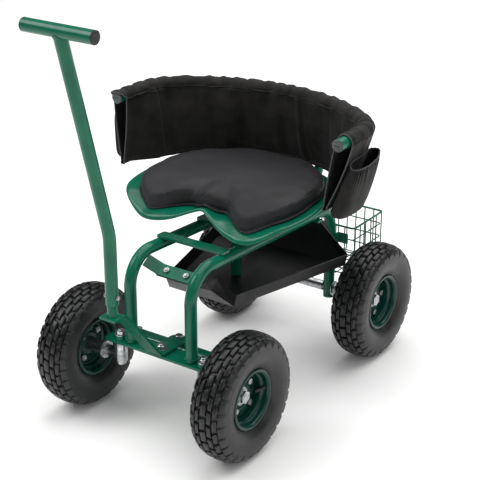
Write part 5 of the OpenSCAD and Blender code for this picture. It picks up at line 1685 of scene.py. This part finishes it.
@dataclass
class Pocket:
    """Open bag sewn to the outside of one arm of the sleeve, gathered by elastic at its mouth."""

    form: SleeveForm
    side: Side
    start: float = 27 * MM
    length: float = 112 * MM
    low: float = -168.2 * MM
    height: float = 124 * MM
    depth: float = 32 * MM
    sag: float = 11 * MM
    gap: float = 0.9 * MM
    corner: float = 0.6
    cloth_t: float = 1.2 * MM
    floor_dip: float = 1.6 * MM
    band_mm: float = 8
    turns: int = 240

    # Height share, then share of the full length and of the full depth.
    shares = (
        (0.0, 0.70, 0.42), (0.04, 0.86, 0.70), (0.12, 0.97, 0.93), (0.3, 1.0, 1.0), (0.7, 1.0, 0.98),
        (0.9, 0.95, 0.9), (0.965, 0.9, 0.84), (1.0, 0.88, 0.8),
    )
    floor_shares = (0.15, 0.45, 0.75)

    def __post_init__(self) -> None:
        """Sets the rings' angles and height shares."""
        self.w = np.linspace(0, TURN, self.turns, endpoint=False)
        self.rows = smooth_line(self.shares, 8)

    def squared(self, share: np.ndarray) -> np.ndarray:
        """A sine or cosine drawn toward a rectangle with round corners."""
        return np.sign(share) * np.abs(share) ** self.corner

    def ring(self, row: Sequence[float], inset: float, lift: np.ndarray) -> Points:
        """Points round the pocket at one height.

        Args:
            row: Height share, and shares of the full length and depth.
            inset: How far the skin lies inside the cloth's outer face.
            lift: How far the cloth stands out at each point, in metres.

        Returns:
            The ring's points.
        """
        share, wide, deep = row
        out, along = self.squared(np.sin(self.w)), self.squared(np.cos(self.w))
        sag = self.sag * share**3 * np.clip(1 + out, 0, 1) * np.clip(0.9 - along, 0, 1)
        z = self.low + share * self.height - sag
        back = self.form.half(z) + self.gap + inset
        front = self.form.roll_r + self.depth * deep
        into = (1 + out) / 2
        rise = (lift - inset) * np.clip(into * 3, 0.15, 1)
        s = self.start + self.length / 2 + (self.length * wide / 2 + rise) * along
        n = back + (front - back) * into + rise * np.clip(into * 2 - 1, 0, 1)
        if self.side is Side.RIGHT:
            s = self.form.rail.length - s
        return self.form.points(s, n, z)

    def below(self) -> np.ndarray:
        """Distance of each row under the mouth, in millimetres."""
        return (1 - self.rows[:, 0]) * self.height / MM

    def lifts(self) -> np.ndarray:
        """How far each ring's points stand out: pleats under the mouth, its band and slack cloth."""
        w = self.w
        drawn = np.random.default_rng(31 + self.side.value)
        pleat = 0.8 * np.sin(24 * w + 0.9 * np.sin(3 * w)) + 0.35 * np.sin(41 * w + drawn.uniform(0, TURN))
        slack = np.sin(3 * w + drawn.uniform(0, TURN)) + 0.6 * np.sin(5 * w + drawn.uniform(0, TURN))
        below = self.below()[:, None]
        band = 1 / (1 + np.exp((below - self.band_mm) / 0.8))
        gather = np.exp(-np.maximum(below - self.band_mm, 0) / 22) * (1 - 0.55 * band)
        full = np.sin(math.pi * np.minimum(self.rows[:, :1] * 1.2, 1))
        return (1.9 * gather * pleat + 0.8 * band + 0.9 * slack * full - 1.3 * bump_at(below - 9, 1.4)) * MM

    def trim(self, outer: Sequence[Points], name: str) -> None:
        """Builds the stitches of the elastic band and the piping round the mouth."""
        lines = [outer[np.argmin(np.abs(self.below() - place))] for place in (3.0, 9.5)]
        Stitching(3.6, 0.4, 1.3, seed=5).sew(f"pocket_stitches_{name}", lines, True)
        bind(f"pocket_piping_{name}", [outer[-1]], 1.3 * MM)

    def build(self) -> None:
        """Builds the pocket, from the inside of its floor over its mouth to the lining."""
        lifts = self.lifts()
        outer = [self.ring(row, 0.0, lift) for row, lift in zip(self.rows, lifts)]
        inner = [self.ring(row, self.cloth_t, lift) for row, lift in zip(self.rows, lifts)]
        middle = outer[0].mean(0)
        floor = [
            middle + (outer[0] - middle) * share - (0, 0, self.floor_dip * (1 - share))
            for share in self.floor_shares
        ]
        lining = [ring + (0, 0, self.cloth_t) for ring in floor[::-1]]
        rings = [*floor, *outer, *inner[::-1], *lining]
        girth = np.linalg.norm(np.diff(outer[len(outer) // 2], axis=0), axis=1).sum()
        around = self.w / TURN * girth
        wall_flat = [np.stack([around, 0 * around + share * self.height], 1) for share in self.rows[:, 0]]
        floor_flat = [ring[:, :2] - middle[:2] - (0, self.depth) for ring in floor]
        flat = np.concatenate([*floor_flat, *wall_flat, *wall_flat[::-1], *floor_flat[::-1]])
        shape = (np.concatenate(rings), tube_faces(len(rings), self.turns))
        name = self.side.name.lower()
        mesh = new_mesh("pocket", shape, 60, flat=flat)
        piece = add_piece(f"side_pocket_{name}", mesh, BAG_CLOTH, "seat", [f"pocket_{name}"])
        self.trim(outer, name)


# Stage


@dataclass
class Studio:
    """Pale floor, soft light and the camera at the photograph's angle."""

    azimuth: float = 34.84
    elevation: float = 23.22
    eye: tuple[float, float, float] = (1465.7 * MM, -2034.2 * MM, 1414.3 * MM)
    focal_px: float = 1323.4
    frame_px: float = 480.0
    sensor_mm: float = 36.0
    floor_size: float = 30.0
    floor_colour: str = "#fbfbfa"
    ambient: float = 0.5
    gloss_share: float = 0.3
    aim: tuple[float, float, float] = (0, 0, 0.3)

    # Name, place, size and power of each lamp.
    lamps = (
        ("key_lamp", (-1.6, -1.4, 2.6), 1.6, 40.0),
        ("fill_lamp", (2.4, -0.6, 1.8), 2.0, 10.0),
        ("top_lamp", (0.2, 1.6, 4.6), 6.0, 250.0),
    )

    def look(self, piece: Piece, place: Sequence[float], way: Vector) -> None:
        """Sets a camera or lamp at a place, with its face to a heading."""
        piece.location = place
        piece.rotation_mode = "QUATERNION"
        piece.rotation_quaternion = way.to_track_quat("-Z", "Y")

    def camera(self) -> None:
        """Makes the camera that was fitted to the photograph."""
        data = bpy.data.cameras.new("camera")
        data.lens = self.focal_px * self.sensor_mm / self.frame_px
        data.sensor_width = self.sensor_mm
        data.clip_start = 0.05
        data.clip_end = 100
        a, e = math.radians(self.azimuth), math.radians(self.elevation)
        ahead = Vector((-math.sin(a) * math.cos(e), math.cos(a) * math.cos(e), -math.sin(e)))
        camera = linked("camera", data)
        self.look(camera, self.eye, ahead)
        bpy.context.scene.camera = camera

    def floor(self) -> None:
        """Makes the pale floor, which keeps the object's shadow."""
        half = self.floor_size / 2
        corners = [(-half, -half, 0), (half, -half, 0), (half, half, 0), (-half, half, 0)]
        mesh = new_mesh("floor", (corners, [(0, 1, 2, 3)]), outward=False)
        paper = bpy.data.materials.new("floor_paper")
        paper.use_nodes = True
        tree = paper.node_tree
        looks = {"Base Color": linear(self.floor_colour), "Roughness": 0.9, "Specular IOR Level": 0.1}
        feed(tree, tree.nodes["Principled BSDF"], looks)
        mesh.materials.append(paper)
        linked("floor", mesh)

    def world(self) -> None:
        """Makes the world white to the camera, a soft light, and a dimmer one in reflections."""
        world = bpy.data.worlds.new("studio")
        bpy.context.scene.world = world
        world.use_nodes = True
        tree = world.node_tree
        path = add_node(tree, "ShaderNodeLightPath").outputs
        seen = calc(tree, "MAXIMUM", path["Is Camera Ray"], path["Is Transmission Ray"])
        ends = {"To Min": self.ambient, "To Max": self.ambient * self.gloss_share}
        dimmed = add_node(tree, "ShaderNodeMapRange", {"Value": path["Is Glossy Ray"], **ends})
        soft, shown = (
            add_node(tree, "ShaderNodeBackground", {"Color": (1, 1, 1, 1), "Strength": level})
            for level in (dimmed.outputs["Result"], 1.0)
        )
        inputs = {0: seen, 1: soft.outputs["Background"], 2: shown.outputs["Background"]}
        mixed = add_node(tree, "ShaderNodeMixShader", inputs)
        feed(tree, tree.nodes["World Output"], {"Surface": mixed.outputs["Shader"]})

    def lamp(self, name: str, place: Sequence[float], size: float, power: float) -> None:
        """Makes a square area lamp that faces the object."""
        data = bpy.data.lights.new(name, "AREA")
        data.size = size
        data.energy = power
        self.look(linked(name, data), place, Vector(self.aim) - Vector(place))

    def build(self) -> None:
        """Makes the whole stage."""
        bpy.context.scene.view_settings.view_transform = "Standard"
        self.camera()
        self.floor()
        self.world()
        for lamp in self.lamps:
            self.lamp(*lamp)


def write_sizes() -> None:
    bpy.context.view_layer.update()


def main() -> None:
    """Builds the seat's looks, sub-assembly by sub-assembly."""
    logging.basicConfig(level=logging.INFO, format="%(message)s")
    Studio().build()
    CadDress().build()
    for side in Side:
        Wheel("front", side, 0.0).build()
        Wheel("rear", side, math.radians(143)).build()
    Basket().build()
    Fasteners().build()
    Welds().build()
    plan = SeatPlan()
    SeatPan(plan).build()
    Cushion(plan).build()
    form = SleeveForm(BackRail())
    ToolSleeve(form).build()
    Pocket(form, Side.LEFT, low=-152 * MM, height=116 * MM, depth=24 * MM, sag=3 * MM).build()
    Pocket(form, Side.RIGHT).build()
    write_sizes()


if __name__ == "__main__":
    main()
